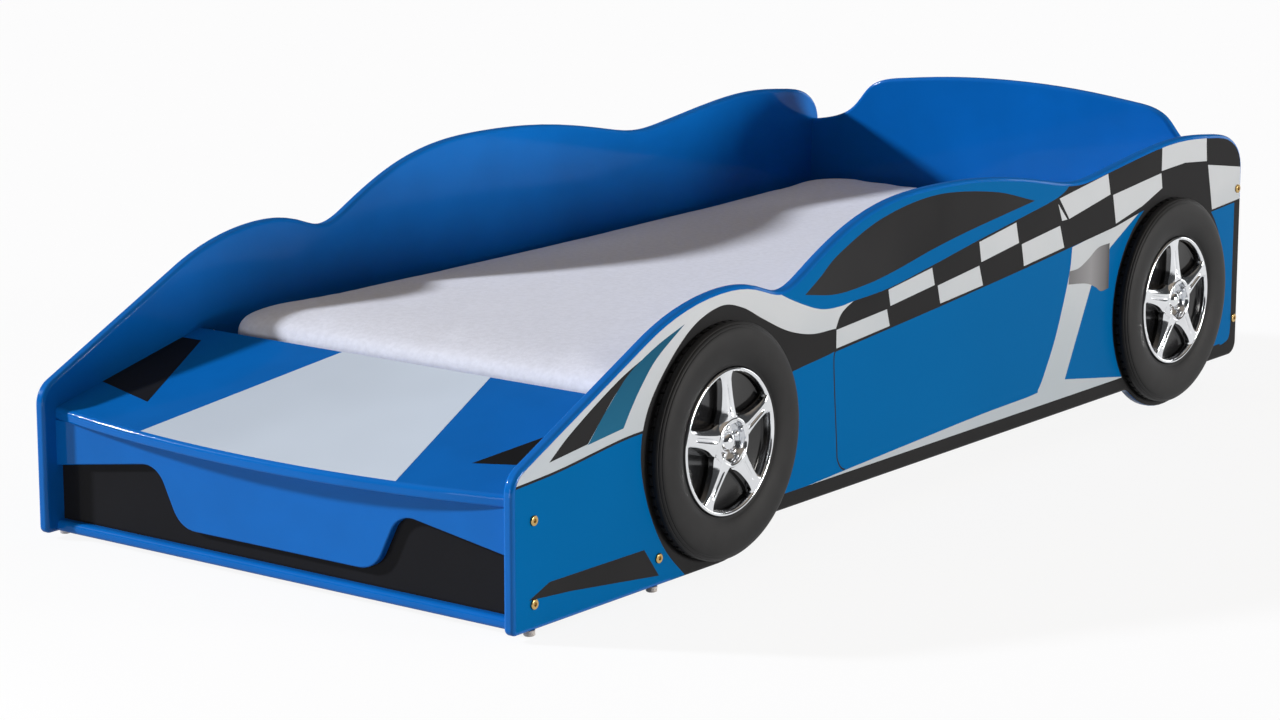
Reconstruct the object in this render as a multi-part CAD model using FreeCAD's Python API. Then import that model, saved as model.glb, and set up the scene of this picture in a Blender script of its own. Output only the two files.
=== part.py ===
import FreeCAD, Part
import math
import os

# A child's bed in the shape of a car: lacquered boards bolted together round a slatted base.
# Sizes are millimetres. X runs across the bed, Y from the nose of the car to its tail, Z up.
# Everything is drawn from the front edge and the bottom edge of the side panels, and saved in a
# frame whose origin lies on the floor under the middle of the bed.

V = FreeCAD.Vector

# Mattress, and the room that the boards leave round it
MATTRESS_WIDTH = 700.0
MATTRESS_LENGTH = 1390.0
MATTRESS_HEIGHT = 118.0
MATTRESS_CORNER = 55.0      # radius of its corners, seen from above
MATTRESS_CROWN = 220.0      # how far in from its sides the top goes on rising
SIDE_GAP = 20.0
END_GAP = 3.75
SEAT_GAP = 0.3

# Boards
BOARD = 15.0
EDGE_RADIUS = 5.0           # rounding of the boards' free edges
PANEL_HEIGHT = 404.0        # bottom edge to the crest of the roof
NOSE_DEPTH = 282.5          # front edge to the face of the foot panel that the mattress meets
REAR_INSET = 5.0            # rear panel to the side panels' rear edge
FRONT_CORNER = 8.0
NOSE_CORNER = 34.0
REAR_CORNER = 20.0
SILL_RISE = 40.0            # height of the bottom edge between the wheels
SILL_FILLET = 25.0
GLIDE_HEIGHT = 7.0

# Hood, fascia, front panel and rail
LIP_REACH = 8.0             # how far the bowed lip stands in front of the side panels
LIP_END_Y = 20.5            # lip at the side panels
LIP_END_Z = 160.0
LIP_TOP_RADIUS = 6.0
LIP_LOW_RADIUS = 3.0
HOOD_REAR_Z = 219.0
HOOD_PLAY = 0.3             # room between the hood and each side panel
FASCIA_THICKNESS = 10.0
FASCIA_EDGE = 2.0
FASCIA_TAB_Z = 37.0         # foot of the tab that hangs in front of the black panel
FASCIA_TAB_SLANT = 38.0
FASCIA_NOTCH_WIDTH = 174.0  # side panel to the tab
FASCIA_NOTCH_Z = 113.0
FASCIA_END_Z = 86.0
FASCIA_TAB_ROUND = 40.0
FASCIA_NOTCH_ROUND = 34.0
RAIL_LEAD = 2.0             # rail's nose in front of the fascia
RAIL_DEPTH = 80.0
RAIL_NOSE = 6.0
FOOT_PANEL_Z = 10.0

# Rear panel
REAR_CREST_RISE = 11.0      # its crest above that of the side panels
SKIRT_INSET = 80.0          # side panel to the skirt that comes down to the glides
SKIRT_SLANT = 35.0
SKIRT_RISE = 45.0
SKIRT_ROUND = 18.0

# Wheels
TYRE_RADIUS = 147.0
TYRE_DEPTH = 21.0
TREAD_WIDTH = 12.0
TREAD_NOTCHES = 64
NOTCH_WIDTH = 3.0
NOTCH_LENGTH = 6.0
NOTCH_DEPTH = 3.0
LOBE_MARGIN = 9.0           # side panel showing below the tyre
FRONT_WHEEL_Y = 399.0
REAR_WHEEL_INSET = 214.0    # rear wheel's centre to the panels' rear edge
RIM_RADIUS = 91.6
RIM_WIDTH = 6.6
RIM_FACE = 17.0             # rim's front face, out from the side panel
RIM_BACK = 9.0
RIM_ROOM = 0.3
DISH_FLOOR = 3.0
DISH_WALL = 5.0
SPOKES = 5
SPOKE_PHASE = 95.0          # degrees from the tail end, first spoke
SPOKE_FOOT = 27.0           # spoke's width at the hub, at its waist and at the rim
SPOKE_WAIST = 14.0
SPOKE_TOE = 20.0
SPOKE_WAIST_RADIUS = 70.0
SPOKE_FACE = 15.0
SPOKE_GROOVE = 4.0
SPOKE_GROOVE_DEPTH = 1.5
HUB_RADIUS = 28.0
HUB_FACE = 14.0
CAP_RADIUS = 27.0
CAP_RIM = 3.0
CAP_DOME_RADIUS = 13.0
CAP_DOME_RISE = 4.0
LUG_RADIUS = 3.5
LUG_RISE = 2.5
LUG_CIRCLE = 19.5
WHEEL_SCREWS = 3
WHEEL_SCREW_CIRCLE = 104.0
WHEEL_SCREW_PHASE = 30.0
WHEEL_SCREW_BITE = 10.0

# Slatted base
SLAT_TOP = 120.0
SLAT_THICKNESS = 12.0
SLAT_WIDTH = 70.0
SLAT_COUNT = 14
SLAT_EDGE = 3.0
SLAT_SIDE_GAP = 6.0
SLAT_END_GAP = 10.0
LEDGER_WIDTH = 25.0
LEDGER_HEIGHT = 40.0
LEDGER_END_GAP = 7.5
LEDGER_SCREWS = 5
LEDGER_SCREW_MARGIN = 50.0
STRAP_WIDTH = 25.0
STRAP_THICKNESS = 1.5
STRAP_INSET = 80.0          # middle of a strap to the side panel
STRAP_MARGIN = 5.0
BATTEN_WIDTH = 20.0
BATTEN_HEIGHT = 20.0
BATTEN_END_GAP = 12.0

# Bolts with barrel nuts, dowels, screws, tacks and glides
BOLT_DIAMETER = 6.0
BOLT_LENGTH = 50.0
BOLT_HEAD = 12.5
BOLT_HEAD_HEIGHT = 2.6
BOLT_HEAD_ROUND = 1.2
BOLT_SOCKET = 5.0
BOLT_SOCKET_DEPTH = 1.8
BOLT_ROOM = 0.3
FRONT_BOLT_LOW = 32.0
FRONT_BOLT_HIGH = 131.0
FOOT_BOLT = 35.0
REAR_BOLT_LOW = 95.0
REAR_BOLT_DROP = 29.0       # upper rear bolt below the end of the roof line
BARREL_DIAMETER = 10.0
BARREL_INSET = 27.0         # barrel nut's axis from the end of its board
BARREL_SKIN = 1.5           # wood left behind the nut
BARREL_SINK = 0.5
BARREL_ROOM = 0.1
DOWEL_DIAMETER = 8.0
DOWEL_IN_PANEL = 10.0
DOWEL_IN_BOARD = 20.0
DOWEL_ROOM = 0.1
FRONT_DOWEL = 80.0
FOOT_DOWEL = 140.0
REAR_DOWEL = 190.0
SCREW_DIAMETER = 4.0
SCREW_HEAD = 8.0
SCREW_HEAD_HEIGHT = 2.6
SCREW_ROOM = 0.15
SCREW_BITE = 10.0           # screw's end inside a side panel
HOOD_SCREW_BITE = 9.0
FASCIA_SCREW_BITE = 6.5
FASCIA_SCREW_TAB_X = 60.0
FASCIA_SCREW_TAB_Z = 70.0
FASCIA_SCREW_INSET = 70.0
FASCIA_SCREW_END_Z = 122.0
RAIL_SCREW_INSET = 120.0
RAIL_SCREW_BITE = 25.0
SLAT_SCREW_BITE = 18.0
TACK_HEAD = 9.0
TACK_HEAD_HEIGHT = 1.2
TACK_PIN = 2.2
TACK_BITE = 8.0
TACK_ROOM = 0.1
GLIDE_DIAMETER = 14.0
GLIDE_ROUND = 2.0
GLIDE_NAIL = 2.4
GLIDE_NAIL_LENGTH = 14.0
GLIDE_NAIL_ROOM = 0.1
GLIDE_FRONT_INSET = 8.0     # behind the face of the front panel
GLIDE_FOOT_INSET = 4.0      # behind the front face of the foot panel
GLIDE_SKIRT_INSET = 30.0    # in from the end of the rear panel's skirt

OVERRUN = 5.0               # how far a cutting tool runs past what it cuts
FLAT = 0.01                 # what counts as no extent when edges are picked

# Roof line of a side panel: shares of its length and of its height, from the end of the sloping
# nose over the front wing, the cabin and the tail to the rear edge
NOSE_TOP_SHARE = 0.461      # where the slope of the nose would meet the front edge
ROOF_SHARES = [
    (0.149, 0.757), (0.194, 0.822), (0.239, 0.846), (0.282, 0.825), (0.311, 0.793),
    (0.344, 0.840), (0.408, 0.951), (0.460, 0.993), (0.512, 1.000), (0.592, 0.981),
    (0.676, 0.924), (0.727, 0.892), (0.764, 0.903), (0.824, 0.934), (0.894, 0.953),
    (0.949, 0.936), (0.982, 0.902), (0.996, 0.849), (1.000, 0.787),
]

# Top of the rear panel: shares of its half width and of its crest height, from crest to side
CREST_SHARES = [
    (0.0, 1.0), (0.365, 0.986), (0.56, 0.967), (0.655, 0.951), (0.71, 0.925),
    (0.76, 0.875), (0.815, 0.828), (0.88, 0.801), (1.0, 0.778),
]

# Side of a tyre from the tread's edge to the bead: shares of its depth and of its radius
TYRE_SIDE_SHARES = [
    (0.80, 0.985), (0.95, 0.945), (1.0, 0.87), (0.95, 0.77), (0.83, 0.69), (0.66, 0.635),
]

# Layers of the mattress, bottom to top: share of its height, and how far the layer draws in as a
# share of the crown
MATTRESS_SHARES = [
    (0.0, 0.05), (0.03, 0.02), (0.08, 0.006), (0.20, 0.002), (0.38, 0.016), (0.55, 0.016), (0.70, 0.002),
    (0.80, 0.005), (0.87, 0.02), (0.92, 0.05), (0.95, 0.11), (0.972, 0.24), (0.99, 0.5), (1.0, 1.0),
]

# Sizes that follow from the others
INNER_WIDTH = MATTRESS_WIDTH + 2 * SIDE_GAP
HALF = INNER_WIDTH / 2
OUTER = HALF + BOARD
REAR_Y = NOSE_DEPTH + MATTRESS_LENGTH + 2 * END_GAP
PANEL_LENGTH = REAR_Y + BOARD + REAR_INSET
FOOT_Y = NOSE_DEPTH - BOARD
FASCIA_Y = LIP_END_Y
FRONT_Y = FASCIA_Y + FASCIA_THICKNESS
RAIL_Y = FASCIA_Y - RAIL_LEAD
FASCIA_NOTCH_HALF = HALF - FASCIA_NOTCH_WIDTH
FASCIA_TAB_HALF = FASCIA_NOTCH_HALF - FASCIA_TAB_SLANT
REAR_CREST_Z = PANEL_HEIGHT + REAR_CREST_RISE
REAR_BOLT_HIGH = ROOF_SHARES[-1][1] * PANEL_HEIGHT - REAR_BOLT_DROP
SKIRT_HALF = HALF - SKIRT_INSET
LOBE_RADIUS = TYRE_RADIUS + LOBE_MARGIN
REAR_WHEEL_Y = PANEL_LENGTH - REAR_WHEEL_INSET
SLAT_Z = SLAT_TOP - SLAT_THICKNESS
HOOD_SLOPE = (HOOD_REAR_Z - LIP_END_Z) / (NOSE_DEPTH - LIP_END_Y)
HOOD_RISE = BOARD * math.hypot(1, HOOD_SLOPE)
DATUM = V(0, (LIP_REACH - PANEL_LENGTH) / 2, GLIDE_HEIGHT)
SIDES = {"left": 1, "right": -1}
ACROSS = V(1, 0, 0)
ALONG = V(0, 1, 0)
UP = V(0, 0, 1)


# Drawing helpers

def save(node, shape):
    """Write one node, moved into the frame on the floor."""
    moved = shape.copy()
    moved.translate(DATUM)
    moved.exportStep("parts/" + node + ".step")


def rounded_wire(corners, lift):
    """Closed wire through (u, v, radius) corners, each rounded by its radius."""
    bends = []
    for i, (u, v, radius) in enumerate(corners):
        here = V(u, v, 0)
        after = corners[(i + 1) % len(corners)]
        back = V(corners[i - 1][0], corners[i - 1][1], 0) - here
        ahead = V(after[0], after[1], 0) - here
        half_angle = back.getAngle(ahead) / 2
        reach = radius / math.tan(half_angle)
        back.normalize()
        ahead.normalize()
        middle = (back + ahead).normalize() * (radius / math.sin(half_angle) - radius)
        bends.append([lift(p.x, p.y) for p in (here + back * reach, here + middle, here + ahead * reach)])
    edges = []
    for i, (start, middle, end) in enumerate(bends):
        if corners[i][2] > 0:
            edges.append(Part.Arc(start, middle, end).toShape())
        edges.append(Part.LineSegment(end, bends[(i + 1) % len(bends)][0]).toShape())
    return Part.Wire(edges)


def cross_board(corners, front_y, thickness):
    """Upright board across the bed, from its outline in X and Z."""
    wire = rounded_wire(corners, lambda u, v: V(u, front_y, v))
    return Part.Face(wire).extrude(ALONG * thickness)


def block(x, y, z):
    """Box between three pairs of limits."""
    low = V(min(x), min(y), min(z))
    return Part.makeBox(max(x) - low.x, max(y) - low.y, max(z) - low.z, low)


def round_edges(solid, radius, chosen):
    """Solid with the edges that a test picks rounded."""
    return solid.makeFillet(radius, [edge for edge in solid.Edges if chosen(edge.BoundBox)])


def placed(shape, at, direction):
    """Copy of a shape drawn along Z, turned along a direction and moved to a point."""
    moved = shape.copy()
    moved.Placement = FreeCAD.Placement(at, FreeCAD.Rotation(UP, direction))
    return moved


def screw(at, direction, length, room=0.0):
    """Countersunk screw with the face of its head at a point; room makes it its own hole."""
    head = Part.makeCone(SCREW_HEAD / 2 + room, SCREW_DIAMETER / 2 + room, SCREW_HEAD_HEIGHT, at, direction)
    shank = Part.makeCylinder(SCREW_DIAMETER / 2 + room, length + room, at, direction)
    return head.fuse(shank)


def drilled(solid, tools):
    """Solid with a list of tools cut out of it."""
    return solid.cut(Part.makeCompound(tools)).removeSplitter()


def spread(start, end, count):
    """Evenly spaced places from a start to an end."""
    return [start + (end - start) * i / (count - 1) for i in range(count)]


# Places of the fasteners

def front_middle():
    return FRONT_Y + BOARD / 2


def foot_middle():
    return FOOT_Y + BOARD / 2


def rear_middle():
    return REAR_Y + BOARD / 2


def bolt_places():
    """Y and Z of the joint bolts in one side panel."""
    return [(front_middle(), FRONT_BOLT_LOW), (front_middle(), FRONT_BOLT_HIGH), (foot_middle(), FOOT_BOLT),
            (rear_middle(), REAR_BOLT_LOW), (rear_middle(), REAR_BOLT_HIGH)]


def dowel_places():
    """Y and Z of the dowels in one side panel."""
    return [(front_middle(), FRONT_DOWEL), (foot_middle(), FOOT_DOWEL), (rear_middle(), REAR_DOWEL),
            (RAIL_Y + RAIL_DEPTH / 2, BOARD / 2)]


def wheel_places():
    """Y and Z of the wheels on one side panel, by name."""
    return {"front": (FRONT_WHEEL_Y, LOBE_RADIUS), "rear": (REAR_WHEEL_Y, LOBE_RADIUS)}


def wheel_screw_places(side):
    """Heads of the screws that hold the wheels on one side panel, on its inner face."""
    places = []
    for y, z in wheel_places().values():
        for i in range(WHEEL_SCREWS):
            angle = math.radians(WHEEL_SCREW_PHASE + i * 360 / WHEEL_SCREWS)
            places.append(V(side * HALF, y + WHEEL_SCREW_CIRCLE * math.cos(angle),
                            z + WHEEL_SCREW_CIRCLE * math.sin(angle)))
    return places


def ledger_screw_places(side):
    start = NOSE_DEPTH + LEDGER_END_GAP + LEDGER_SCREW_MARGIN
    end = REAR_Y - LEDGER_END_GAP - LEDGER_SCREW_MARGIN
    return [V(side * (HALF - LEDGER_WIDTH), y, SLAT_Z - LEDGER_HEIGHT / 2)
            for y in spread(start, end, LEDGER_SCREWS)]


def batten_span():
    return FRONT_Y + BOARD + BATTEN_END_GAP, FOOT_Y - BATTEN_END_GAP


def batten_screw_places(side):
    """Heads of the screws from a batten into its side panel."""
    start, end = batten_span()
    inset = (end - start) / 5
    drop = BATTEN_HEIGHT / 2
    return [V(side * (HALF - BATTEN_WIDTH), y, hood_under(y) - drop) for y in (start + inset, end - inset)]


def hood_screw_places(side):
    """Heads of the screws from a batten up into the hood, square to it."""
    start, end = batten_span()
    square = hood_normal()
    middle = (start + end) / 2
    quarter = (end - start) / 4
    foot = BATTEN_HEIGHT / math.hypot(1, HOOD_SLOPE)
    x = side * (HALF - BATTEN_WIDTH / 2)
    heads = [V(x, y, hood_under(y)) for y in (middle - quarter, middle + quarter)]
    return [head - square * foot for head in heads]


def fascia_screw_places():
    """Heads of the screws from the back of the front panel into the fascia."""
    back = FRONT_Y + BOARD
    on_tab = (FASCIA_SCREW_TAB_X, FASCIA_SCREW_TAB_Z)
    on_end = (HALF - FASCIA_SCREW_INSET, FASCIA_SCREW_END_Z)
    return [V(sign * x, back, z) for sign in SIDES.values() for x, z in (on_tab, on_end)]


def rail_screw_places():
    """Heads of the screws from under the rail into the front panel."""
    reach = HALF - RAIL_SCREW_INSET
    return [V(x, front_middle(), 0) for x in (-reach, 0, reach)]


def slat_starts():
    """Y of the front edge of every slat."""
    return spread(NOSE_DEPTH + SLAT_END_GAP, REAR_Y - SLAT_END_GAP - SLAT_WIDTH, SLAT_COUNT)


def slat_screw_places():
    """Heads of the screws that hold the first and the last slat to the ledgers."""
    return [V(side * (HALF - LEDGER_WIDTH / 2), start + SLAT_WIDTH / 2, SLAT_TOP)
            for side in SIDES.values() for start in (slat_starts()[0], slat_starts()[-1])]


def tack_places():
    """Undersides of the straps where the tacks go into the slats."""
    return [V(side * (HALF - STRAP_INSET), start + SLAT_WIDTH / 2, SLAT_Z - STRAP_THICKNESS)
            for side in SIDES.values() for start in slat_starts()]


def side_glide_places(side):
    along = (FRONT_Y + GLIDE_FRONT_INSET, FOOT_Y + GLIDE_FOOT_INSET)
    return [V(side * (HALF + BOARD / 2), y, 0) for y in along]


def rear_glide_places():
    return [V(side * (SKIRT_HALF - GLIDE_SKIRT_INSET), rear_middle(), 0) for side in SIDES.values()]


# Holes that the fasteners need

def bolt_holes(side):
    """Bores for the joint bolts of one side, from outside the panel to the bolts' ends."""
    radius = BOLT_DIAMETER / 2 + BOLT_ROOM
    length = BOLT_LENGTH + OVERRUN + BOLT_ROOM
    return [Part.makeCylinder(radius, length, V(side * (OUTER + OVERRUN), y, z), ACROSS * -side)
            for y, z in bolt_places()]


def dowel_holes(side):
    radius = DOWEL_DIAMETER / 2 + DOWEL_ROOM
    length = DOWEL_IN_PANEL + DOWEL_IN_BOARD + 2 * DOWEL_ROOM
    start = HALF + DOWEL_IN_PANEL + DOWEL_ROOM
    return [Part.makeCylinder(radius, length, V(side * start, y, z), ACROSS * -side)
            for y, z in dowel_places()]


def barrel_holes(side):
    """Blind holes for the barrel nuts, drilled from the back of each cross board."""
    radius = BARREL_DIAMETER / 2 + BARREL_ROOM
    depth = BOARD - BARREL_SKIN
    x = side * (HALF - BARREL_INSET)
    return [Part.makeCylinder(radius, depth + OVERRUN, V(x, y + BOARD / 2 - depth, z), ALONG)
            for y, z in bolt_places()]


def end_holes():
    """Every hole that the bolts, nuts and dowels of both sides make in the cross boards."""
    holes = []
    for side in SIDES.values():
        holes += bolt_holes(side) + dowel_holes(side) + barrel_holes(side)
    return holes


def glide_nail_holes(places):
    radius = GLIDE_NAIL / 2 + GLIDE_NAIL_ROOM
    return [Part.makeCylinder(radius, GLIDE_NAIL_LENGTH + GLIDE_NAIL_ROOM, at, UP) for at in places]


# Hood plane

def hood_top(y):
    """Height of the hood's upper face at a place along the bed."""
    return LIP_END_Z + (y - LIP_END_Y) * HOOD_SLOPE


def hood_under(y):
    return hood_top(y) - HOOD_RISE


def hood_normal():
    return V(0, -HOOD_SLOPE, 1).normalize()


def above_hood_seat():
    """Everything above the hood's underside, to trim the boards that carry the hood."""
    front, back = RAIL_Y - OVERRUN, NOSE_DEPTH + OVERRUN
    corners = [(front, hood_under(front)), (back, hood_under(back)),
               (back, PANEL_HEIGHT), (front, PANEL_HEIGHT)]
    points = [V(-OUTER, y, z) for y, z in corners]
    return Part.Face(Part.makePolygon(points + points[:1])).extrude(ACROSS * (2 * OUTER))


# Boards

def panel_outline():
    """Closed outline of a side panel in Y and Z: car roof above, wheel lobes and sill below."""
    lobe_z = LOBE_RADIUS
    fillet_z = SILL_RISE - SILL_FILLET
    join = LOBE_RADIUS + SILL_FILLET
    swing = math.sqrt(join ** 2 - (lobe_z - fillet_z) ** 2)
    lean = math.atan2(lobe_z - fillet_z, swing)
    bisect = (lean + math.pi / 2) / 2

    def on_lobe(wheel_y, sign):
        """Where a lobe runs into the fillet on its front (-1) or rear (+1) side."""
        return V(0, wheel_y + sign * LOBE_RADIUS * math.cos(lean), lobe_z - LOBE_RADIUS * math.sin(lean))

    def fillet(wheel_y, sign):
        """Points of the fillet from a lobe to the sill."""
        centre_y = wheel_y + sign * swing
        middle_y = centre_y - sign * SILL_FILLET * math.cos(bisect)
        middle = V(0, middle_y, fillet_z + SILL_FILLET * math.sin(bisect))
        return on_lobe(wheel_y, sign), middle, V(0, centre_y, SILL_RISE)

    def beside(wheel_y, sign):
        """Point of a lobe halfway from its foot to the fillet."""
        return V(0, wheel_y + sign * LOBE_RADIUS * math.cos(bisect), lobe_z - LOBE_RADIUS * math.sin(bisect))

    roof = [V(0, y * PANEL_LENGTH, z * PANEL_HEIGHT) for y, z in ROOF_SHARES]
    nose_top = V(0, 0, NOSE_TOP_SHARE * PANEL_HEIGHT)
    slope = (roof[0] - nose_top).normalize()
    turn = slope.getAngle(UP)
    reach = NOSE_CORNER * math.tan(turn / 2)
    nose_low = nose_top - UP * reach
    nose_high = nose_top + slope * reach
    inward = (slope - UP).normalize()
    nose_middle = nose_top + inward * (NOSE_CORNER / math.cos(turn / 2) - NOSE_CORNER)
    crest = Part.BSplineCurve()
    crest.interpolate(Points=roof, InitialTangent=slope, FinalTangent=-UP, Scale=False)

    rest = 1 - math.sqrt(0.5)
    front_foot = V(0, FRONT_WHEEL_Y, 0)
    rear_foot = V(0, REAR_WHEEL_Y, 0)
    front_rise = fillet(FRONT_WHEEL_Y, 1)
    rear_fall = fillet(REAR_WHEEL_Y, -1)
    rear_rise = fillet(REAR_WHEEL_Y, 1)
    corner_start = V(0, PANEL_LENGTH - REAR_CORNER, SILL_RISE)
    corner_middle = V(0, PANEL_LENGTH - rest * REAR_CORNER, SILL_RISE + rest * REAR_CORNER)
    corner_end = V(0, PANEL_LENGTH, SILL_RISE + REAR_CORNER)
    edges = [
        Part.Arc(V(0, 0, FRONT_CORNER), V(0, 1, 1) * (rest * FRONT_CORNER), V(0, FRONT_CORNER, 0)),
        Part.LineSegment(V(0, FRONT_CORNER, 0), front_foot),
        Part.Arc(front_foot, beside(FRONT_WHEEL_Y, 1), front_rise[0]),
        Part.Arc(*front_rise),
        Part.LineSegment(front_rise[2], rear_fall[2]),
        Part.Arc(*reversed(rear_fall)),
        Part.Arc(rear_fall[0], rear_foot, rear_rise[0]),
        Part.Arc(*rear_rise),
        Part.LineSegment(rear_rise[2], corner_start),
        Part.Arc(corner_start, corner_middle, corner_end),
        Part.LineSegment(corner_end, roof[-1]),
        crest,
        Part.LineSegment(roof[0], nose_high),
        Part.Arc(nose_high, nose_middle, nose_low),
        Part.LineSegment(nose_low, V(0, 0, FRONT_CORNER)),
    ]
    return Part.Wire(Part.__sortEdges__([edge.toShape() for edge in edges]))


def side_panel(side):
    board = Part.Face(panel_outline()).extrude(ACROSS * BOARD)
    board = round_edges(board, EDGE_RADIUS, lambda box: box.XLength < FLAT)
    board.translate(ACROSS * (HALF if side > 0 else -OUTER))
    out = ACROSS * side
    tools = bolt_holes(side) + dowel_holes(side) + glide_nail_holes(side_glide_places(side))
    tools += [screw(at, out, BOARD + OVERRUN, SCREW_ROOM) for at in wheel_screw_places(side)]
    tools += [screw(at, out, LEDGER_WIDTH + SCREW_BITE, SCREW_ROOM) for at in ledger_screw_places(side)]
    tools += [screw(at, out, BATTEN_WIDTH + SCREW_BITE, SCREW_ROOM) for at in batten_screw_places(side)]
    return drilled(board, tools)


def rear_panel():
    """Rear board with a crowned top, and a skirt that stands on two glides."""
    crest = [V(x * HALF, REAR_Y, z * REAR_CREST_Z) for x, z in CREST_SHARES]
    mirrored = [V(-p.x, p.y, p.z) for p in reversed(crest[1:])]
    top = Part.BSplineCurve()
    top.interpolate(Points=mirrored + crest)
    foot = SKIRT_HALF
    heel = SKIRT_HALF + SKIRT_SLANT
    side_top = crest[-1].z
    corners = [(-HALF, SKIRT_RISE, 0), (-heel, SKIRT_RISE, SKIRT_ROUND), (-foot, 0, SKIRT_ROUND),
               (foot, 0, SKIRT_ROUND), (heel, SKIRT_RISE, SKIRT_ROUND), (HALF, SKIRT_RISE, 0),
               (HALF, side_top, 0), (-HALF, side_top, 0)]
    lower = rounded_wire(corners, lambda u, v: V(u, REAR_Y, v))
    kept = [edge for edge in lower.Edges if edge.BoundBox.ZMin < side_top - FLAT]
    wire = Part.Wire(Part.__sortEdges__(kept + [top.toShape()]))
    board = Part.Face(wire).extrude(ALONG * BOARD)
    free = lambda box: box.YLength < FLAT and box.XLength > FLAT
    board = round_edges(board, EDGE_RADIUS, free)
    return drilled(board, end_holes() + glide_nail_holes(rear_glide_places()))


def hood_panel():
    """Sloping board whose front lip bows forward between the side panels."""
    front, back = -LIP_REACH - OVERRUN, NOSE_DEPTH
    side = [V(-OUTER, y, z) for y, z in ((front, hood_under(front)), (back, hood_under(back)),
                                         (back, hood_top(back)), (front, hood_top(front)))]
    slab = Part.Face(Part.makePolygon(side + side[:1])).extrude(ACROSS * (2 * OUTER))
    edge_x = HALF - HOOD_PLAY
    left, right = V(-edge_x, LIP_END_Y, 0), V(edge_x, LIP_END_Y, 0)
    rear_left, rear_right = V(-edge_x, back, 0), V(edge_x, back, 0)
    plan = Part.Wire([Part.Arc(left, V(0, -LIP_REACH, 0), right).toShape(),
                      Part.LineSegment(right, rear_right).toShape(),
                      Part.LineSegment(rear_right, rear_left).toShape(),
                      Part.LineSegment(rear_left, left).toShape()])
    board = slab.common(Part.Face(plan).extrude(UP * PANEL_HEIGHT))

    def lip_edges(upper):
        middle = (hood_top(0) + hood_under(0)) / 2
        return lambda box: box.XLength > HALF and box.YLength > FLAT and (box.ZMin > middle) == upper

    board = round_edges(board, LIP_TOP_RADIUS, lip_edges(True))
    board = round_edges(board, LIP_LOW_RADIUS, lip_edges(False))
    bores = [screw(at, hood_normal(), BATTEN_HEIGHT + HOOD_SCREW_BITE, SCREW_ROOM)
             for side in SIDES.values() for at in hood_screw_places(side)]
    return drilled(board, bores)


def front_fascia():
    """Shaped board whose tab hangs in front of the black panel, with a notch on each side."""
    tab, notch, end = FASCIA_TAB_HALF, FASCIA_NOTCH_HALF, HALF
    top = hood_top(FASCIA_Y + FASCIA_THICKNESS)
    half_outline = [(tab, FASCIA_TAB_Z, FASCIA_TAB_ROUND), (notch, FASCIA_NOTCH_Z, FASCIA_NOTCH_ROUND),
                    (end, FASCIA_END_Z, 0), (end, top, 0)]
    corners = half_outline + [(-x, z, r) for x, z, r in reversed(half_outline)]
    board = cross_board(corners, FASCIA_Y, FASCIA_THICKNESS)
    low_edges = lambda box: box.YMax < FASCIA_Y + FLAT and box.ZMin < FASCIA_NOTCH_Z and box.XLength > FLAT
    board = round_edges(board, FASCIA_EDGE, low_edges)
    bores = [screw(at, -ALONG, BOARD + FASCIA_SCREW_BITE, SCREW_ROOM) for at in fascia_screw_places()]
    return drilled(board, bores + [above_hood_seat()])


def front_panel():
    top = hood_top(FRONT_Y + BOARD)
    corners = [(-HALF, BOARD, 0), (HALF, BOARD, 0), (HALF, top, 0), (-HALF, top, 0)]
    bores = [screw(at, -ALONG, BOARD + FASCIA_SCREW_BITE, SCREW_ROOM) for at in fascia_screw_places()]
    bores += [screw(at, UP, BOARD + RAIL_SCREW_BITE, SCREW_ROOM) for at in rail_screw_places()]
    return drilled(cross_board(corners, FRONT_Y, BOARD), bores + end_holes() + [above_hood_seat()])


def front_rail():
    """Flat board under the front panel, with a rounded nose."""
    board = block((-HALF, HALF), (RAIL_Y, RAIL_Y + RAIL_DEPTH), (0, BOARD))
    nose = lambda box: box.XLength > HALF and box.YMax < RAIL_Y + FLAT
    board = round_edges(board, RAIL_NOSE, nose)
    bores = [screw(at, UP, BOARD + RAIL_SCREW_BITE, SCREW_ROOM) for at in rail_screw_places()]
    return drilled(board, bores + dowel_holes(SIDES["left"]) + dowel_holes(SIDES["right"]))


def foot_panel():
    top = hood_top(NOSE_DEPTH)
    corners = [(-HALF, FOOT_PANEL_Z, 0), (HALF, FOOT_PANEL_Z, 0), (HALF, top, 0), (-HALF, top, 0)]
    return drilled(cross_board(corners, FOOT_Y, BOARD), end_holes() + [above_hood_seat()])


def hood_batten(side):
    """Strip along a side panel that the hood is screwed to."""
    start, end = batten_span()
    drop = BATTEN_HEIGHT * math.hypot(1, HOOD_SLOPE)
    inner = V(side * (HALF - BATTEN_WIDTH), 0, 0)
    corners = [(start, hood_under(start)), (end, hood_under(end)),
               (end, hood_under(end) - drop), (start, hood_under(start) - drop)]
    points = [inner + V(0, y, z) for y, z in corners]
    strip = Part.Face(Part.makePolygon(points + points[:1])).extrude(ACROSS * (side * BATTEN_WIDTH))
    out = ACROSS * side
    bores = [screw(at, out, BATTEN_WIDTH + SCREW_BITE, SCREW_ROOM) for at in batten_screw_places(side)]
    bores += [screw(at, hood_normal(), BATTEN_HEIGHT + HOOD_SCREW_BITE, SCREW_ROOM)
              for at in hood_screw_places(side)]
    return drilled(strip, bores)


# Slatted base and mattress

def slat_ledger(side):
    strip = block((side * (HALF - LEDGER_WIDTH), side * HALF),
                  (NOSE_DEPTH + LEDGER_END_GAP, REAR_Y - LEDGER_END_GAP), (SLAT_Z - LEDGER_HEIGHT, SLAT_Z))
    out = ACROSS * side
    bores = [screw(at, out, LEDGER_WIDTH + SCREW_BITE, SCREW_ROOM) for at in ledger_screw_places(side)]
    bores += [screw(at, -UP, SLAT_THICKNESS + SLAT_SCREW_BITE, SCREW_ROOM) for at in slat_screw_places()]
    return drilled(strip, bores)


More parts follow.
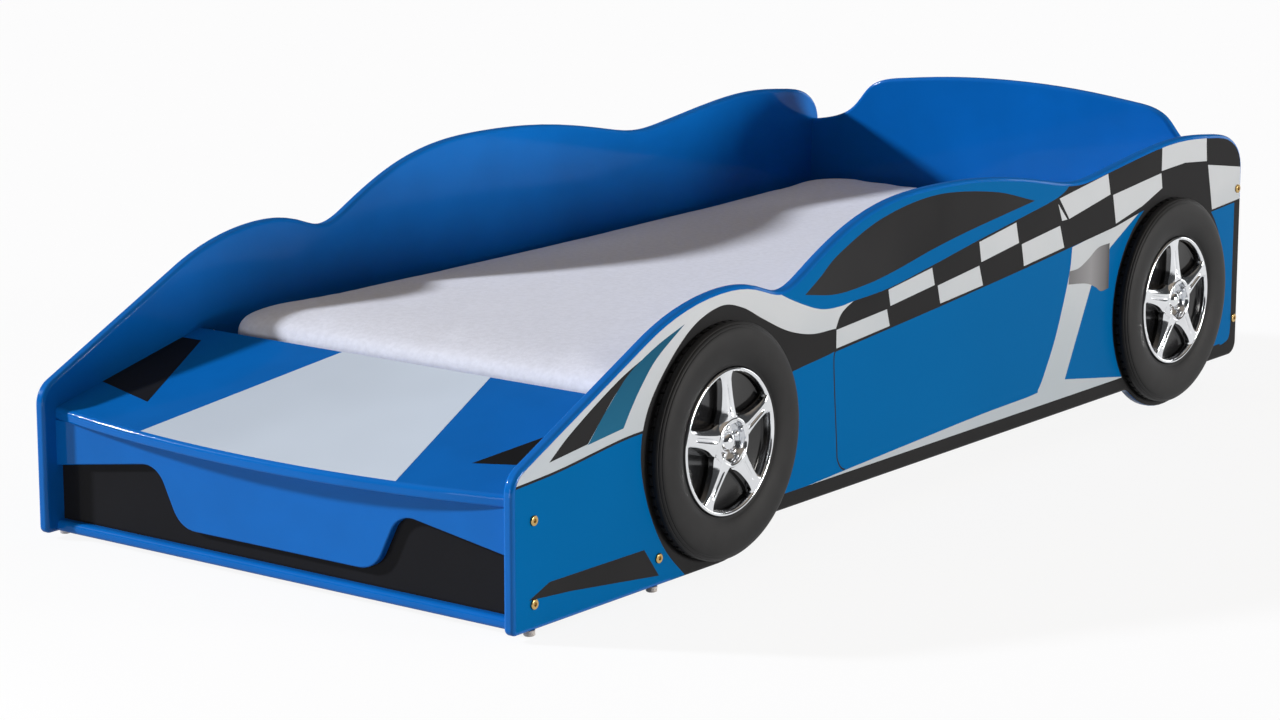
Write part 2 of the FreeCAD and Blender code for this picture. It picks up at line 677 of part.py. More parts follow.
def tack(at, room=0.0):
    """Flat-headed tack with its head under a strap; room makes it its own hole."""
    head = Part.makeCylinder(TACK_HEAD / 2, TACK_HEAD_HEIGHT, at - UP * TACK_HEAD_HEIGHT, UP)
    pin = Part.makeCylinder(TACK_PIN / 2 + room, STRAP_THICKNESS + TACK_BITE + room, at, UP)
    return head.fuse(pin)


def slat(start):
    reach = HALF - SLAT_SIDE_GAP
    board = block((-reach, reach), (start, start + SLAT_WIDTH), (SLAT_Z, SLAT_TOP))
    board = round_edges(board, SLAT_EDGE, lambda box: box.XLength > HALF)
    bores = [tack(at, TACK_ROOM) for at in tack_places()]
    bores += [screw(at, -UP, SLAT_THICKNESS + SLAT_SCREW_BITE, SCREW_ROOM) for at in slat_screw_places()]
    near = board.BoundBox
    return drilled(board, [bore for bore in bores if near.intersect(bore.BoundBox)])


def slat_strap(side):
    middle = side * (HALF - STRAP_INSET)
    start = slat_starts()[0] + STRAP_MARGIN
    end = slat_starts()[-1] + SLAT_WIDTH - STRAP_MARGIN
    band = block((middle - STRAP_WIDTH / 2, middle + STRAP_WIDTH / 2), (start, end),
                 (SLAT_Z - STRAP_THICKNESS, SLAT_Z))
    return drilled(band, [tack(at, TACK_ROOM) for at in tack_places()])


def mattress():
    """Crowned pad with rounded corners and sides that draw in, flat where it lies on the slats."""
    middle_y = (NOSE_DEPTH + REAR_Y) / 2
    layers = []
    for height, draw in MATTRESS_SHARES:
        inset = draw * MATTRESS_CROWN
        x = MATTRESS_WIDTH / 2 - inset
        y = MATTRESS_LENGTH / 2 - inset
        z = SLAT_TOP + SEAT_GAP + height * MATTRESS_HEIGHT
        corners = [(-x, -y, MATTRESS_CORNER), (x, -y, MATTRESS_CORNER), (x, y, MATTRESS_CORNER),
                   (-x, y, MATTRESS_CORNER)]
        layers.append(rounded_wire(corners, lambda u, v: V(u, middle_y + v, z)))
    return Part.makeLoft(layers, True, True)


# Wheels, drawn about the X axis with the side panel's face at zero

def turned(points, curves=()):
    """Solid turned about the X axis from (out, radius) points, some joined by curves."""
    corners = [V(x, 0, r) for x, r in points]
    edges = [curve.toShape() for curve in curves]
    edges += [Part.LineSegment(a, b).toShape() for a, b in zip(corners, corners[1:])]
    profile = Part.Face(Part.Wire(Part.__sortEdges__(edges)))
    return profile.revolve(V(0, 0, 0), ACROSS, 360)


def about_axle(shape, degrees):
    """Copy of a shape turned about the wheel's axis."""
    moved = shape.copy()
    moved.rotate(V(0, 0, 0), ACROSS, degrees)
    return moved


def tyre():
    """Moulded tyre with a bulging side, a notched tread and a bore for the rim."""
    bore = RIM_RADIUS + RIM_ROOM
    tread_edge = V(TREAD_WIDTH, 0, TYRE_RADIUS)
    side = [tread_edge] + [V(x * TYRE_DEPTH, 0, r * TYRE_RADIUS) for x, r in TYRE_SIDE_SHARES]
    wall = Part.BSplineCurve()
    wall.interpolate(Points=side, InitialTangent=ACROSS, FinalTangent=(-UP - ACROSS).normalize(), Scale=False)
    bead = side[-1]
    body = turned([(bead.x, bead.z), (bead.x, bore), (0, bore), (0, TYRE_RADIUS), (TREAD_WIDTH, TYRE_RADIUS)],
                  [wall])
    notch = block((-OVERRUN, NOTCH_LENGTH), (-NOTCH_WIDTH / 2, NOTCH_WIDTH / 2),
                  (TYRE_RADIUS - NOTCH_DEPTH, TYRE_RADIUS + OVERRUN))
    notches = [about_axle(notch, i * 360 / TREAD_NOTCHES) for i in range(TREAD_NOTCHES)]
    bites = []
    for i in range(WHEEL_SCREWS):
        angle = math.radians(WHEEL_SCREW_PHASE + i * 360 / WHEEL_SCREWS)
        at = V(-BOARD, WHEEL_SCREW_CIRCLE * math.cos(angle), WHEEL_SCREW_CIRCLE * math.sin(angle))
        bites.append(screw(at, ACROSS, BOARD + WHEEL_SCREW_BITE, SCREW_ROOM))
    return drilled(body, notches + bites)


def rim_dish():
    """Black cup behind the spokes, flat against the side panel."""
    inner = RIM_RADIUS - DISH_WALL
    return turned([(0, 0), (0, RIM_RADIUS), (RIM_BACK, RIM_RADIUS), (RIM_BACK, inner), (DISH_FLOOR, inner),
                   (DISH_FLOOR, 0), (0, 0)])


def wheel_rim():
    """Ring, hub and grooved spokes in one chromed piece."""
    inner = RIM_RADIUS - RIM_WIDTH
    nose = RIM_WIDTH / 2
    middle = inner + nose
    crown = Part.Arc(V(RIM_FACE - nose, 0, inner), V(RIM_FACE, 0, middle), V(RIM_FACE - nose, 0, RIM_RADIUS))
    ring = turned([(RIM_FACE - nose, RIM_RADIUS), (RIM_BACK, RIM_RADIUS), (RIM_BACK, inner),
                   (RIM_FACE - nose, inner)], [crown])
    hub = Part.makeCylinder(HUB_RADIUS, HUB_FACE - RIM_BACK, V(RIM_BACK, 0, 0), ACROSS)
    outline = [(SPOKE_FOOT / 2, 0), (SPOKE_WAIST / 2, SPOKE_WAIST_RADIUS), (SPOKE_TOE / 2, inner + FLAT),
               (0, middle), (-SPOKE_TOE / 2, inner + FLAT), (-SPOKE_WAIST / 2, SPOKE_WAIST_RADIUS),
               (-SPOKE_FOOT / 2, 0)]
    points = [V(RIM_BACK, across, out) for across, out in outline]
    spoke = Part.Face(Part.makePolygon(points + points[:1])).extrude(ACROSS * (SPOKE_FACE - RIM_BACK))
    groove = block((SPOKE_FACE - SPOKE_GROOVE_DEPTH, SPOKE_FACE + OVERRUN),
                   (-SPOKE_GROOVE / 2, SPOKE_GROOVE / 2), (HUB_RADIUS, inner - SPOKE_GROOVE))
    spoke = spoke.cut(groove)
    spokes = [about_axle(spoke, SPOKE_PHASE - 90 + i * 360 / SPOKES) for i in range(SPOKES)]
    seat = Part.makeCylinder(CAP_RADIUS + RIM_ROOM, RIM_FACE, V(HUB_FACE, 0, 0), ACROSS)
    return ring.fuse([hub] + spokes).cut(seat).removeSplitter()


def hub_cap():
    """Chromed cap with a dome in the middle and a lug between each pair of spokes."""
    face = HUB_FACE + CAP_RIM
    plate = Part.makeCylinder(CAP_RADIUS, CAP_RIM, V(HUB_FACE, 0, 0), ACROSS)
    plate = round_edges(plate, CAP_RIM / 2, lambda box: box.XMin > face - FLAT)
    top = face + CAP_DOME_RISE
    ball = (CAP_DOME_RADIUS ** 2 + CAP_DOME_RISE ** 2) / (2 * CAP_DOME_RISE)
    half_angle = math.asin(CAP_DOME_RADIUS / ball) / 2
    middle = V(top - ball * (1 - math.cos(half_angle)), 0, ball * math.sin(half_angle))
    crown = Part.Arc(V(face, 0, CAP_DOME_RADIUS), middle, V(top, 0, 0))
    dome = turned([(top, 0), (HUB_FACE, 0), (HUB_FACE, CAP_DOME_RADIUS), (face, CAP_DOME_RADIUS)], [crown])
    lug = Part.makeCylinder(LUG_RADIUS, CAP_RIM + LUG_RISE, V(HUB_FACE, 0, LUG_CIRCLE), ACROSS)
    lug = round_edges(lug, LUG_RADIUS / 2, lambda box: box.XMin > face + FLAT)
    lugs = [about_axle(lug, SPOKE_PHASE - 90 + (i + 0.5) * 360 / SPOKES) for i in range(SPOKES)]
    return plate.fuse([dome] + lugs).removeSplitter()


def on_wheel(shape, side, y, z):
    """Wheel piece on its side panel; the right side is the mirror image of the left."""
    moved = shape.copy()
    moved.translate(V(OUTER, y, z))
    return moved if side > 0 else moved.mirror(V(0, 0, 0), ACROSS)


# Fasteners and glides

def panel_bolt():
    """Joint bolt drawn along Z, with the underside of its head at zero and a hexagon socket."""
    head = Part.makeCylinder(BOLT_HEAD / 2, BOLT_HEAD_HEIGHT, V(0, 0, -BOLT_HEAD_HEIGHT), UP)
    head = round_edges(head, BOLT_HEAD_ROUND, lambda box: box.ZMax < -BOLT_HEAD_HEIGHT + FLAT)
    corner = BOLT_SOCKET / math.sqrt(3)
    hexagon = [V(corner * math.cos(i * math.pi / 3), corner * math.sin(i * math.pi / 3), -BOLT_HEAD_HEIGHT)
               for i in range(7)]
    socket = Part.Face(Part.makePolygon(hexagon)).extrude(UP * BOLT_SOCKET_DEPTH)
    shank = Part.makeCylinder(BOLT_DIAMETER / 2, BOLT_LENGTH, V(0, 0, 0), UP)
    return head.fuse(shank).cut(socket)


def panel_bolts():
    bolt = panel_bolt()
    return [placed(bolt, V(side * OUTER, y, z), ACROSS * -side)
            for side in SIDES.values() for y, z in bolt_places()]


def barrel_nuts():
    nuts = []
    length = BOARD - BARREL_SKIN - BARREL_SINK
    for side in SIDES.values():
        for y, z in bolt_places():
            at = V(side * (HALF - BARREL_INSET), y - BOARD / 2 + BARREL_SKIN, z)
            nut = Part.makeCylinder(BARREL_DIAMETER / 2, length, at, ALONG)
            bore = Part.makeCylinder(BOLT_DIAMETER / 2 + BARREL_ROOM, BARREL_DIAMETER + OVERRUN,
                                     V(at.x - (BARREL_DIAMETER + OVERRUN) / 2, y, z), ACROSS)
            nuts.append(nut.cut(bore))
    return nuts


def dowels():
    length = DOWEL_IN_PANEL + DOWEL_IN_BOARD
    radius = DOWEL_DIAMETER / 2
    start = HALF + DOWEL_IN_PANEL
    return [Part.makeCylinder(radius, length, V(side * start, y, z), ACROSS * -side)
            for side in SIDES.values() for y, z in dowel_places()]


def glides():
    """Nail-on glides: a rounded button under the board and a nail up into it."""
    pads = []
    places = rear_glide_places() + [at for side in SIDES.values() for at in side_glide_places(side)]
    for at in places:
        pad = Part.makeCylinder(GLIDE_DIAMETER / 2, GLIDE_HEIGHT, at - UP * GLIDE_HEIGHT, UP)
        pad = round_edges(pad, GLIDE_ROUND, lambda box: box.ZMax < FLAT - GLIDE_HEIGHT)
        pads.append(pad.fuse(Part.makeCylinder(GLIDE_NAIL / 2, GLIDE_NAIL_LENGTH, at, UP)))
    return pads


def side_screws(places, length):
    """Screws that go outwards from places given for each side."""
    return [screw(at, ACROSS * side, length) for side in SIDES.values() for at in places(side)]


def save_all():
    for name, side in SIDES.items():
        save("side_panel_" + name, side_panel(side))
        save("hood_batten_" + name, hood_batten(side))
        save("slat_ledger_" + name, slat_ledger(side))
        save("slat_strap_" + name, slat_strap(side))
    save("rear_panel", rear_panel())
    save("hood_panel", hood_panel())
    save("front_fascia", front_fascia())
    save("front_panel", front_panel())
    save("front_rail", front_rail())
    save("foot_panel", foot_panel())
    for i, start in enumerate(slat_starts()):
        save("slat_%02d" % (i + 1), slat(start))
    save("mattress", mattress())
    wheel = {"tyre": tyre(), "rim_dish": rim_dish(), "wheel_rim": wheel_rim(), "hub_cap": hub_cap()}
    for name, side in SIDES.items():
        for end, (y, z) in wheel_places().items():
            for piece, shape in wheel.items():
                save("_".join((piece, end, name)), on_wheel(shape, side, y, z))
    groups = {
        "panel_bolts": panel_bolts(),
        "barrel_nuts": barrel_nuts(),
        "dowels": dowels(),
        "glides": glides(),
        "wheel_screws": side_screws(wheel_screw_places, BOARD + WHEEL_SCREW_BITE),
        "ledger_screws": side_screws(ledger_screw_places, LEDGER_WIDTH + SCREW_BITE),
        "batten_screws": side_screws(batten_screw_places, BATTEN_WIDTH + SCREW_BITE),
        "hood_screws": [screw(at, hood_normal(), BATTEN_HEIGHT + HOOD_SCREW_BITE)
                        for side in SIDES.values() for at in hood_screw_places(side)],
        "fascia_screws": [screw(at, -ALONG, BOARD + FASCIA_SCREW_BITE) for at in fascia_screw_places()],
        "rail_screws": [screw(at, UP, BOARD + RAIL_SCREW_BITE) for at in rail_screw_places()],
        "slat_screws": [screw(at, -UP, SLAT_THICKNESS + SLAT_SCREW_BITE) for at in slat_screw_places()],
        "strap_tacks": [tack(at) for at in tack_places()],
    }
    for node, solids in groups.items():
        save(node, Part.makeCompound(solids))


os.makedirs("parts", exist_ok=True)
save_all()
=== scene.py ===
import math

import bmesh
import bpy
from mathutils import Matrix, Vector, geometry, noise


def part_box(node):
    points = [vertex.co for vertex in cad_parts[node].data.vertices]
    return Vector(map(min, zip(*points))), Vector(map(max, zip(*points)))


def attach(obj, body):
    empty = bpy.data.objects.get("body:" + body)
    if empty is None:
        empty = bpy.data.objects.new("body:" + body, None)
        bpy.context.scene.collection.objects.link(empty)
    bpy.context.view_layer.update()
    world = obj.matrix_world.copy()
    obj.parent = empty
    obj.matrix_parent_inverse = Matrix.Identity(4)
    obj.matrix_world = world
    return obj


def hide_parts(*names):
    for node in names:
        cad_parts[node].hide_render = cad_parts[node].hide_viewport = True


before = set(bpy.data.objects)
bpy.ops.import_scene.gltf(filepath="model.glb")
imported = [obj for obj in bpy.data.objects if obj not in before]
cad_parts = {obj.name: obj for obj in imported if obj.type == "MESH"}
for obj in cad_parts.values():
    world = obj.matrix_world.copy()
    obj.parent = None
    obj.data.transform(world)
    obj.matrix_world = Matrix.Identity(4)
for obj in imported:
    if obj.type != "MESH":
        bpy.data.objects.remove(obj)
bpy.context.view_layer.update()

bl_info = {
    "name": "Car bed",
    "version": (1, 0, 0),
    "blender": (4, 5, 0),
    "location": "View3D > Sidebar > Car bed",
    "description": "Finishes, prints, wheels and mattress of a child's bed in the shape of a car",
    "category": "Object",
}

BED = "bed_frame"
MM = 0.001
SIDES = {"left": 1, "right": -1}
WHEELS = ("front", "rear")
SAME_POINT = 1e-6           # metres
SAME_LEVEL = 1e-5           # metres
SAME_WAY = 0.9999           # cosine of the angle between two directions
FACES_UP = 0.9              # cosine of the steepest slope of a face that looks up
FLAT_ANGLE = 0.5            # degrees

# Corners of the box round the left side panel, taken from the frame
PANEL_LOW, PANEL_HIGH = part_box("side_panel_left")

# Nodes by finish
BLUE_NODES = ("side_panel_left", "side_panel_right", "rear_panel", "hood_panel", "front_fascia",
              "front_rail")
BLACK_NODES = ("front_panel", "foot_panel")
STEEL_NODES = ("barrel_nuts", "wheel_screws", "ledger_screws", "batten_screws", "hood_screws",
               "fascia_screws", "rail_screws", "slat_screws", "strap_tacks")
STRAP_NODES = ("slat_strap_left", "slat_strap_right")
# How the names of wooden nodes start
WOOD_WORDS = ("slat_0", "slat_1", "slat_ledger", "hood_batten", "dowels")

# Prints on a side panel, in millimetres from its front edge and its bottom edge. Each outline is a
# list of runs: a run is straight, smooth or round, and the next one starts where it ends.
BEYOND = 460                # past the panel's edge, where the panel itself trims the film
EDGE_RADIUS = 5             # rounding of the panel's edge
EDGE_STEPS = (1.4, 2.8, 4)  # out from the flat face: where the film bends as it goes over the edge
EDGE_LOW = 70               # films go over the edge only below this height
EDGE_REAR = 1680            # or behind this length
EDGE_REACH = [(300, -20), (1720, -20), (1720, 275), (1690, 275), (1690, 70), (300, 70)]
CUT_FINENESS = 1e-4         # films' corners nearer than this become one
CUT_DIGITS = 4              # and are told apart by as many digits
PANEL = [(-20, -20), (1720, -20), (1720, BEYOND), (-20, BEYOND)]
CREASE = [(-10, 174), (86, 180), (200, 193), (262, 196)]
DOOR_EDGE = [(645, 226), (642, 205), (650, 102), (653, 80), (668, 66), (701, 66), (982, 77), (1121, 80),
             (1139, 86), (1158, 112), (1184, 158), (1213, 232), (1220, 271)]
DOOR_FOOT = 5               # number of the point of this edge where the rear pillar starts
BAND_FOOT = [(645, 223), (887, 242), (1094, 260), (1337, 283), (1420, 296)]
BAND_TOP = [(1214, 361), (1178, 346), (1072, 330), (979, 317), (867, 300), (764, 286), (684, 282)]
BAND_NOSE = [(684, 282), (668, 276), (655, 268), (645, 252)]
FRONT_ARCH = [(342, -10), (288, 42), (254, 103), (240, 165), (253, 219), (293, 268), (345, 307),
              (400, 322), (444, 313), (489, 291), (540, 268), (592, 255), (645, 253)]
REAR_ARCH = (1494, 156, 160)  # middle along, middle up, radius
REAR_ARCH_END = 357         # degrees: the round stops short of its start
CELLS = [
    [(647, 251), (761, 259), (768, 236), (647, 227)],
    [(764, 284), (866, 297), (873, 273), (769, 262)],
    [(880, 271), (981, 282), (991, 254), (887, 246)],
    [(980, 314), (1072, 327), (1080, 298), (986, 286)],
    [(1087, 295), (1186, 306), (1198, 274), (1094, 264)],
    [(1183, 344), (1312, 361), (1320, 331), (1210, 312)],
    [(1180, 337), (1205, 312), (1191, 312)],
    [(1327, 329), (1461, 342), (1465, 320), (1410, 302), (1337, 287)],
    [(1462, 386), (1462, 345), (1530, 348), (1593, 342), (1589, 390)],
    [(1597, 336), (1710, 318), (1710, 274), (1613, 268)],
]

# Where graded films start and end to change their tone, in the same millimetres, up or along. The
# silver is darker towards the foot, painted shade; the window is lighter towards both ends, a painted
# reflection; the teal and the intake are airbrushed print.
SILVER_FADE = (100, 330)
WINDOW_FADE = (577, 1119)
TEAL_FADE = (200, 310)
INTAKE_FADE = (1212, 1321)

# Prints on the hood, in millimetres from its middle line and from the side panels' front edge
STRIPE = [(-217, -30), (217, -30), (116, 300), (-116, 300)]
# The hood's silver stripe is darker towards -X along this fade: painted shade.
STRIPE_FADE = (-250, 150)   # across the hood
HOOD_PATCH = [(380, 107), (263, 76), (336, 250), (380, 250)]

# Sections of the tyre and of the rim's pieces: millimetres out from the side panel, and radius
TYRE_SECTION = [
    (0, 92.2), (0, 145.6), (0.6, 146.6), (1.6, 147), (6, 147), (6.5, 145.9), (7.4, 145.9),
    (7.9, 147), (11.4, 147), (13.2, 146.5), (14.5, 145.4), (14.8, 144.5), (15.4, 144.4),
    (16.2, 143.9), (17.3, 141.9), (17.6, 140.8), (18.2, 140.7), (18.8, 139.9), (19.7, 136.6),
    (20.5, 132), (20.9, 127.5), (21, 123), (20.8, 118), (20.3, 112.5), (19.4, 107.5), (18.2, 103),
    (16.9, 99.4), (15.6, 96.8), (14.8, 95.6), (14.6, 94.4), (14.1, 93.2), (13, 92.4), (9, 92.2),
]
NOTCH_END = 6               # notches of the tread reach this far out from the panel
NOTCH_COUNT = 64
NOTCH_STEPS = 6             # points of the tyre's round from one notch to the next
TREAD_FOOT = 140            # radius where the tread starts
RING_SECTION = [(9, 86), (12.6, 86), (15.2, 86.5), (16.7, 87.6), (17.2, 89), (16.9, 90.4), (16.2, 91.2),
                (15, 91.5), (9, 91.6)]
DISH_SECTION = [(0.2, 0), (3.4, 0), (3.4, 82.6), (4.4, 84.6), (9, 86.2), (9, 91.4), (0.2, 91.4)]
COLLAR_SECTION = [(9, 25), (12.2, 25), (20.2, 26.6), (21.3, 27.4), (21.7, 28.6), (21.3, 30),
                  (20, 31.2), (14, 33.4), (9, 34)]
LUG_FACE = 11.5             # flat of the hub cap, which the lugs stand on
LUG_RISE = 4
CAP_SECTION = [(9, 0), (19, 0), (18.6, 4), (17.4, 7.6), (15.2, 10.4), (12.8, 11.8), (11.7, 12.3),
               (LUG_FACE, 13.4), (LUG_FACE, 24.4), (9, 24.9)]
DOME_ANGLES = (90, 70, 50, 30, 15, 0)
STUD_ROOT = 1               # a lug goes this far into the cap
# Points of a full round
RING_ROUND = 128
HUB_ROUND = 96
CAP_ROUND = 64
STUD_ROUND = 24
# Spokes: angle of the first in degrees, and how far out they and the black blocks below them reach
SPOKE_COUNT = 5
SPOKE_START = 95
SPOKE_BACK = 7
GROOVE_SHARE = 0.36         # half width of the groove as a share of the face's half width
BLOCK_BACK = 2.5
BLOCK_FACE = 8
# Along a spoke: distance from the axle, half width of its face, half width at the foot of its bevel,
# height of its face, drop of its bevel, depth of its groove
SPOKE_STATIONS = [
    (24, 9, 20, 20.6, 5, 0), (31, 8.2, 18.5, 20.8, 6, 0), (36, 7.4, 15.5, 20.4, 6, 0.6),
    (40, 7, 13.6, 20, 5.4, 1.8), (48, 6.5, 11.4, 19.3, 4.4, 2), (58, 6.2, 10, 18.4, 3.4, 2),
    (68, 6.1, 9.2, 17.7, 2.6, 2), (72, 6.2, 9.2, 17.4, 2.3, 1), (74.5, 6.4, 9.4, 17.2, 2.1, 0.2),
    (78, 6.6, 9.6, 17, 1.9, 0), (81, 7.2, 10.4, 17, 1.8, 0), (84, 8.4, 11.8, 16.9, 1.7, 0),
    (86.5, 10.4, 14, 16.8, 1.6, 0), (88.5, 13.4, 17, 16.7, 1.5, 0),
]

# Mattress: how its filling is simulated, and how far its cover keeps from the boards, in millimetres
FILL_FRAMES = 20
FILL_PRESSURE = 4
FILL_QUALITY = 4
SIDE_ROOM = 2               # left free beside the side panels
END_ROOM = 2.5              # past the solid mattress's ends
SOFT_PATCHES = (170, 60)    # sizes of the large and the small unevenness
SOFT_SHIFT = (3, 7, 1)      # where in the pattern the mattress lies
FIRM_SHARE = 0.3            # share of the height, from the slats up, over which the unevenness grows

# Stage, in metres and degrees
FLOOR_REACH = 20
SKY_DIM = "#707274"
SKY_BRIGHT = "#FFEDD8"
SKY_DIM_END = 0.55          # heights in the sky, from 0 at the horizon to 1 overhead
SKY_BRIGHT_START = 0.8
# Lamps: place, width as an angle, colour, and size if it is a soft box
LAMPS = {
    "key": ((-5.7, -3.09, 3.0), 5, "#F0F4FF", 0),
    "fill": ((3.0, 1.4, 0.11), 20, "#FFFCF8", 0),
    "front": ((0.05, -1.9, 0.16), 0, "#FFFFFF", 0.6),
    "back": ((0.6, 3.0, 0.24), 30, "#FFFFFF", 0),
}
CAMERA_PLACE = (3.018, -4.066, 1.243)
CAMERA_DIP = 12.36          # how far it looks below level
CAMERA_TURN = 37.28         # how far it is turned from a view along Y
SENSOR_WIDTH = 36           # millimetres


# Sizes and colours that can be changed

def linear(code):
    """Linear colour from an sRGB hex code."""
    channels = [int(code[i:i + 2], 16) / 255 for i in (1, 3, 5)]
    return [c / 12.92 if c <= 0.04045 else ((c + 0.055) / 1.055) ** 2.4 for c in channels] + [1.0]


def colour(label, code):
    """Colour property with a hex code as its default."""
    return bpy.props.FloatVectorProperty(name=label, description=label + " of the bed", subtype="COLOR",
                                         size=4, min=0, max=1, default=linear(code))


def length(label, text, metres):
    """Length property in metres."""
    return bpy.props.FloatProperty(name=label, description=text, default=metres, min=0, unit="LENGTH",
                                   precision=5)


def lamp_strength(label, text, default):
    """Property for how strong a lamp is."""
    return bpy.props.FloatProperty(name=label, description=text, default=default, min=0)


class CarBedFinish(bpy.types.PropertyGroup):
    """Colours of the bed."""
    blue: colour("Blue lacquer", "#0A66B6")
    black: colour("Black lacquer", "#1F1F21")
    film_blue: colour("Blue print", "#0064A3")
    film_black: colour("Charcoal print", "#2B2B2C")
    film_silver: colour("Silver-white print", "#CDD1D5")
    # Darker tone of the silver print towards the panel's foot: painted shade
    film_silver_painted_shade: colour("Painted shade of the silver print towards the foot", "#BAC3CA")
    hood_silver: colour("Silver-white print on the hood", "#D2DDE7")
    film_teal: colour("Teal print", "#225C7A")
    intake: colour("Grey of the printed air intake", "#98989B")
    tyre: colour("Tyre plastic", "#1C1C1D")
    dish: colour("Dish plastic", "#121213")
    chrome: colour("Chrome", "#E2E4E7")
    brass: colour("Brass plating", "#BFA067")
    zinc: colour("Zinc plating", "#AEB1B5")
    glide: colour("Glide plastic", "#BFB9B4")
    pine: colour("Pine", "#D9BC90")
    webbing: colour("Webbing", "#CFCBC2")
    cover: colour("Mattress cover", "#DEE0E8")


class CarBedSizes(bpy.types.PropertyGroup):
    """Sizes of what is added to the frame."""
    film: length("Film", "Thickness of the printed film", 0.00015)
    crease_line: length("Crease line", "Width of the line along the front wing", 0.0032)
    door_line: length("Door line", "Width of the line round the door", 0.0024)
    notch_depth: length("Notch depth", "Depth of the notches in the tread", 0.003)
    lug: length("Lug", "Radius of the lugs on the hub cap", 0.0046)
    lug_circle: length("Lug circle", "Radius of the circle of lugs", 0.0183)
    voxel: length("Mattress grid", "Grid of the mattress before it is filled", 0.010)
    fill_cap: length("Fill", "How far the filling may push the cover out", 0.008)
    crumple: length("Crumple", "Height of the cover's soft unevenness", 0.0009)
    sag: length("Sag", "How far the mattress lies lower in the middle than at its ends", 0.006)


class CarBedStage(bpy.types.PropertyGroup):
    """Floor, lamps and camera."""
    floor: colour("Floor", "#B4B5B7")
    floor_seen: colour("Floor as it is seen", "#F8F8F9")
    whiteness: bpy.props.FloatProperty(name="Whiteness", default=0.9, min=0, max=1,
                                       description="How far the floor shows as plain white")
    key: lamp_strength("Key", "Strength of the key lamp", 4.05)
    fill: lamp_strength("Fill", "Strength of the fill lamp", 4.0)
    front: lamp_strength("Front", "Watts of the soft box in front", 4.1)
    back: lamp_strength("Back", "Strength of the lamp behind", 0.55)
    sky: lamp_strength("Sky", "Strength of the even light", 0.39)
    lens: bpy.props.FloatProperty(name="Lens", description="Focal length in millimetres", default=106.7,
                                  min=1)


# Materials

def per_metre(millimetres):
    """Scale of a pattern whose features have this size."""
    return 1000 / millimetres


def node(tree, kind, links=None, ramp=None, **settings):
    """Add a node with its settings, its colour stops and its links."""
    made = tree.nodes.new(kind)
    for key, value in settings.items():
        label = key.replace("_", " ").title()
        if label in made.inputs:
            made.inputs[label].default_value = value
        else:
            setattr(made, key, value)
    for index, (position, stop) in enumerate(ramp or ()):
        stops = made.color_ramp.elements
        element = stops[index] if index < 2 else stops.new(position)
        element.position = position
        element.color = stop
    for key, source in (links or {}).items():
        tree.links.new(source, made.inputs[key])
    return made


def material(name, **shader):
    """New material: its shader, its tree, and the coordinates that its patterns use."""
    made = bpy.data.materials.new(name)
    made.use_nodes = True
    tree = made.node_tree
    surface = tree.nodes["Principled BSDF"]
    for key, value in shader.items():
        surface.inputs[key.replace("_", " ").title().replace("Ior", "IOR")].default_value = value
    place = node(tree, "ShaderNodeTexCoord").outputs["Object"]
    return made, tree, surface, place


def shade(tone, factor):
    """Colour made darker or lighter."""
    return [min(1, c * factor) for c in tone[:3]] + [1]


def bump(tree, surface, height, depth, strength=1.0):
    """Relief of a depth in millimetres on a shader."""
    relief = node(tree, "ShaderNodeBump", {"Height": height}, strength=strength, distance=depth * MM)
    tree.links.new(relief.outputs["Normal"], surface.inputs["Normal"])


def mottle(tree, surface, place, tones, size, detail=2):
    """Colour that drifts between tones in patches of a size in millimetres."""
    cloud = node(tree, "ShaderNodeTexNoise", {"Vector": place}, scale=per_metre(size), detail=detail)
    stops = [(0.35, tones[0]), (0.65, tones[1])]
    ramp = node(tree, "ShaderNodeValToRGB", {"Fac": cloud.outputs["Fac"]}, stops)
    tree.links.new(ramp.outputs["Color"], surface.inputs["Base Color"])


def lacquered_board(name, tone, coat):
    """Fibreboard with sprayed lacquer: an even colour under a clear gloss with a faint orange peel."""
    made, tree, surface, place = material(name, roughness=0.25, specular_ior_level=0.02,
                                          coat_weight=coat, coat_roughness=0.06)
    mottle(tree, surface, place, (shade(tone, 0.96), shade(tone, 1.04)), size=90)
    peel = node(tree, "ShaderNodeTexNoise", {"Vector": place}, scale=per_metre(5), detail=1)
    bump(tree, surface, peel.outputs["Fac"], depth=0.06, strength=0.12)
    return made


def printed_film(name, light, dark, patch):
    """Vinyl film: airbrushed, so its colour drifts softly, under an even satin gloss."""
    made, tree, surface, place = material(name, roughness=0.3, specular_ior_level=0.02)
    mottle(tree, surface, place, (dark, light), size=patch, detail=1)
    grain = node(tree, "ShaderNodeTexNoise", {"Vector": place}, scale=per_metre(1.2), detail=2)
    bump(tree, surface, grain.outputs["Fac"], depth=0.012, strength=0.4)
    return made


def graded_film(name, axis, corner, fade, stops, drift=0.0):
    """Vinyl film graded from tone to tone along an axis, and a little cloudy; on the silver films the
    grade is painted shade, on the window a painted reflection, on the teal and the intake airbrushed
    print.

    Its fade starts and ends at two distances in millimetres from a corner in metres.
    """
    start, end = (corner + distance * MM for distance in fade)
    made, tree, surface, place = material(name, roughness=0.3, specular_ior_level=0.02)
    parts = node(tree, "ShaderNodeSeparateXYZ", {"Vector": place})
    run = node(tree, "ShaderNodeMapRange", {"Value": parts.outputs[axis]}, from_min=start, from_max=end)
    cloud = node(tree, "ShaderNodeTexNoise", {"Vector": place}, scale=per_metre(120), detail=1)
    off = node(tree, "ShaderNodeMapRange", {"Value": cloud.outputs["Fac"]}, to_min=-drift, to_max=drift)
    both = node(tree, "ShaderNodeMath", {0: run.outputs["Result"], 1: off.outputs["Result"]})
    ramp = node(tree, "ShaderNodeValToRGB", {"Fac": both.outputs["Value"]}, stops)
    tree.links.new(ramp.outputs["Color"], surface.inputs["Base Color"])
    return made


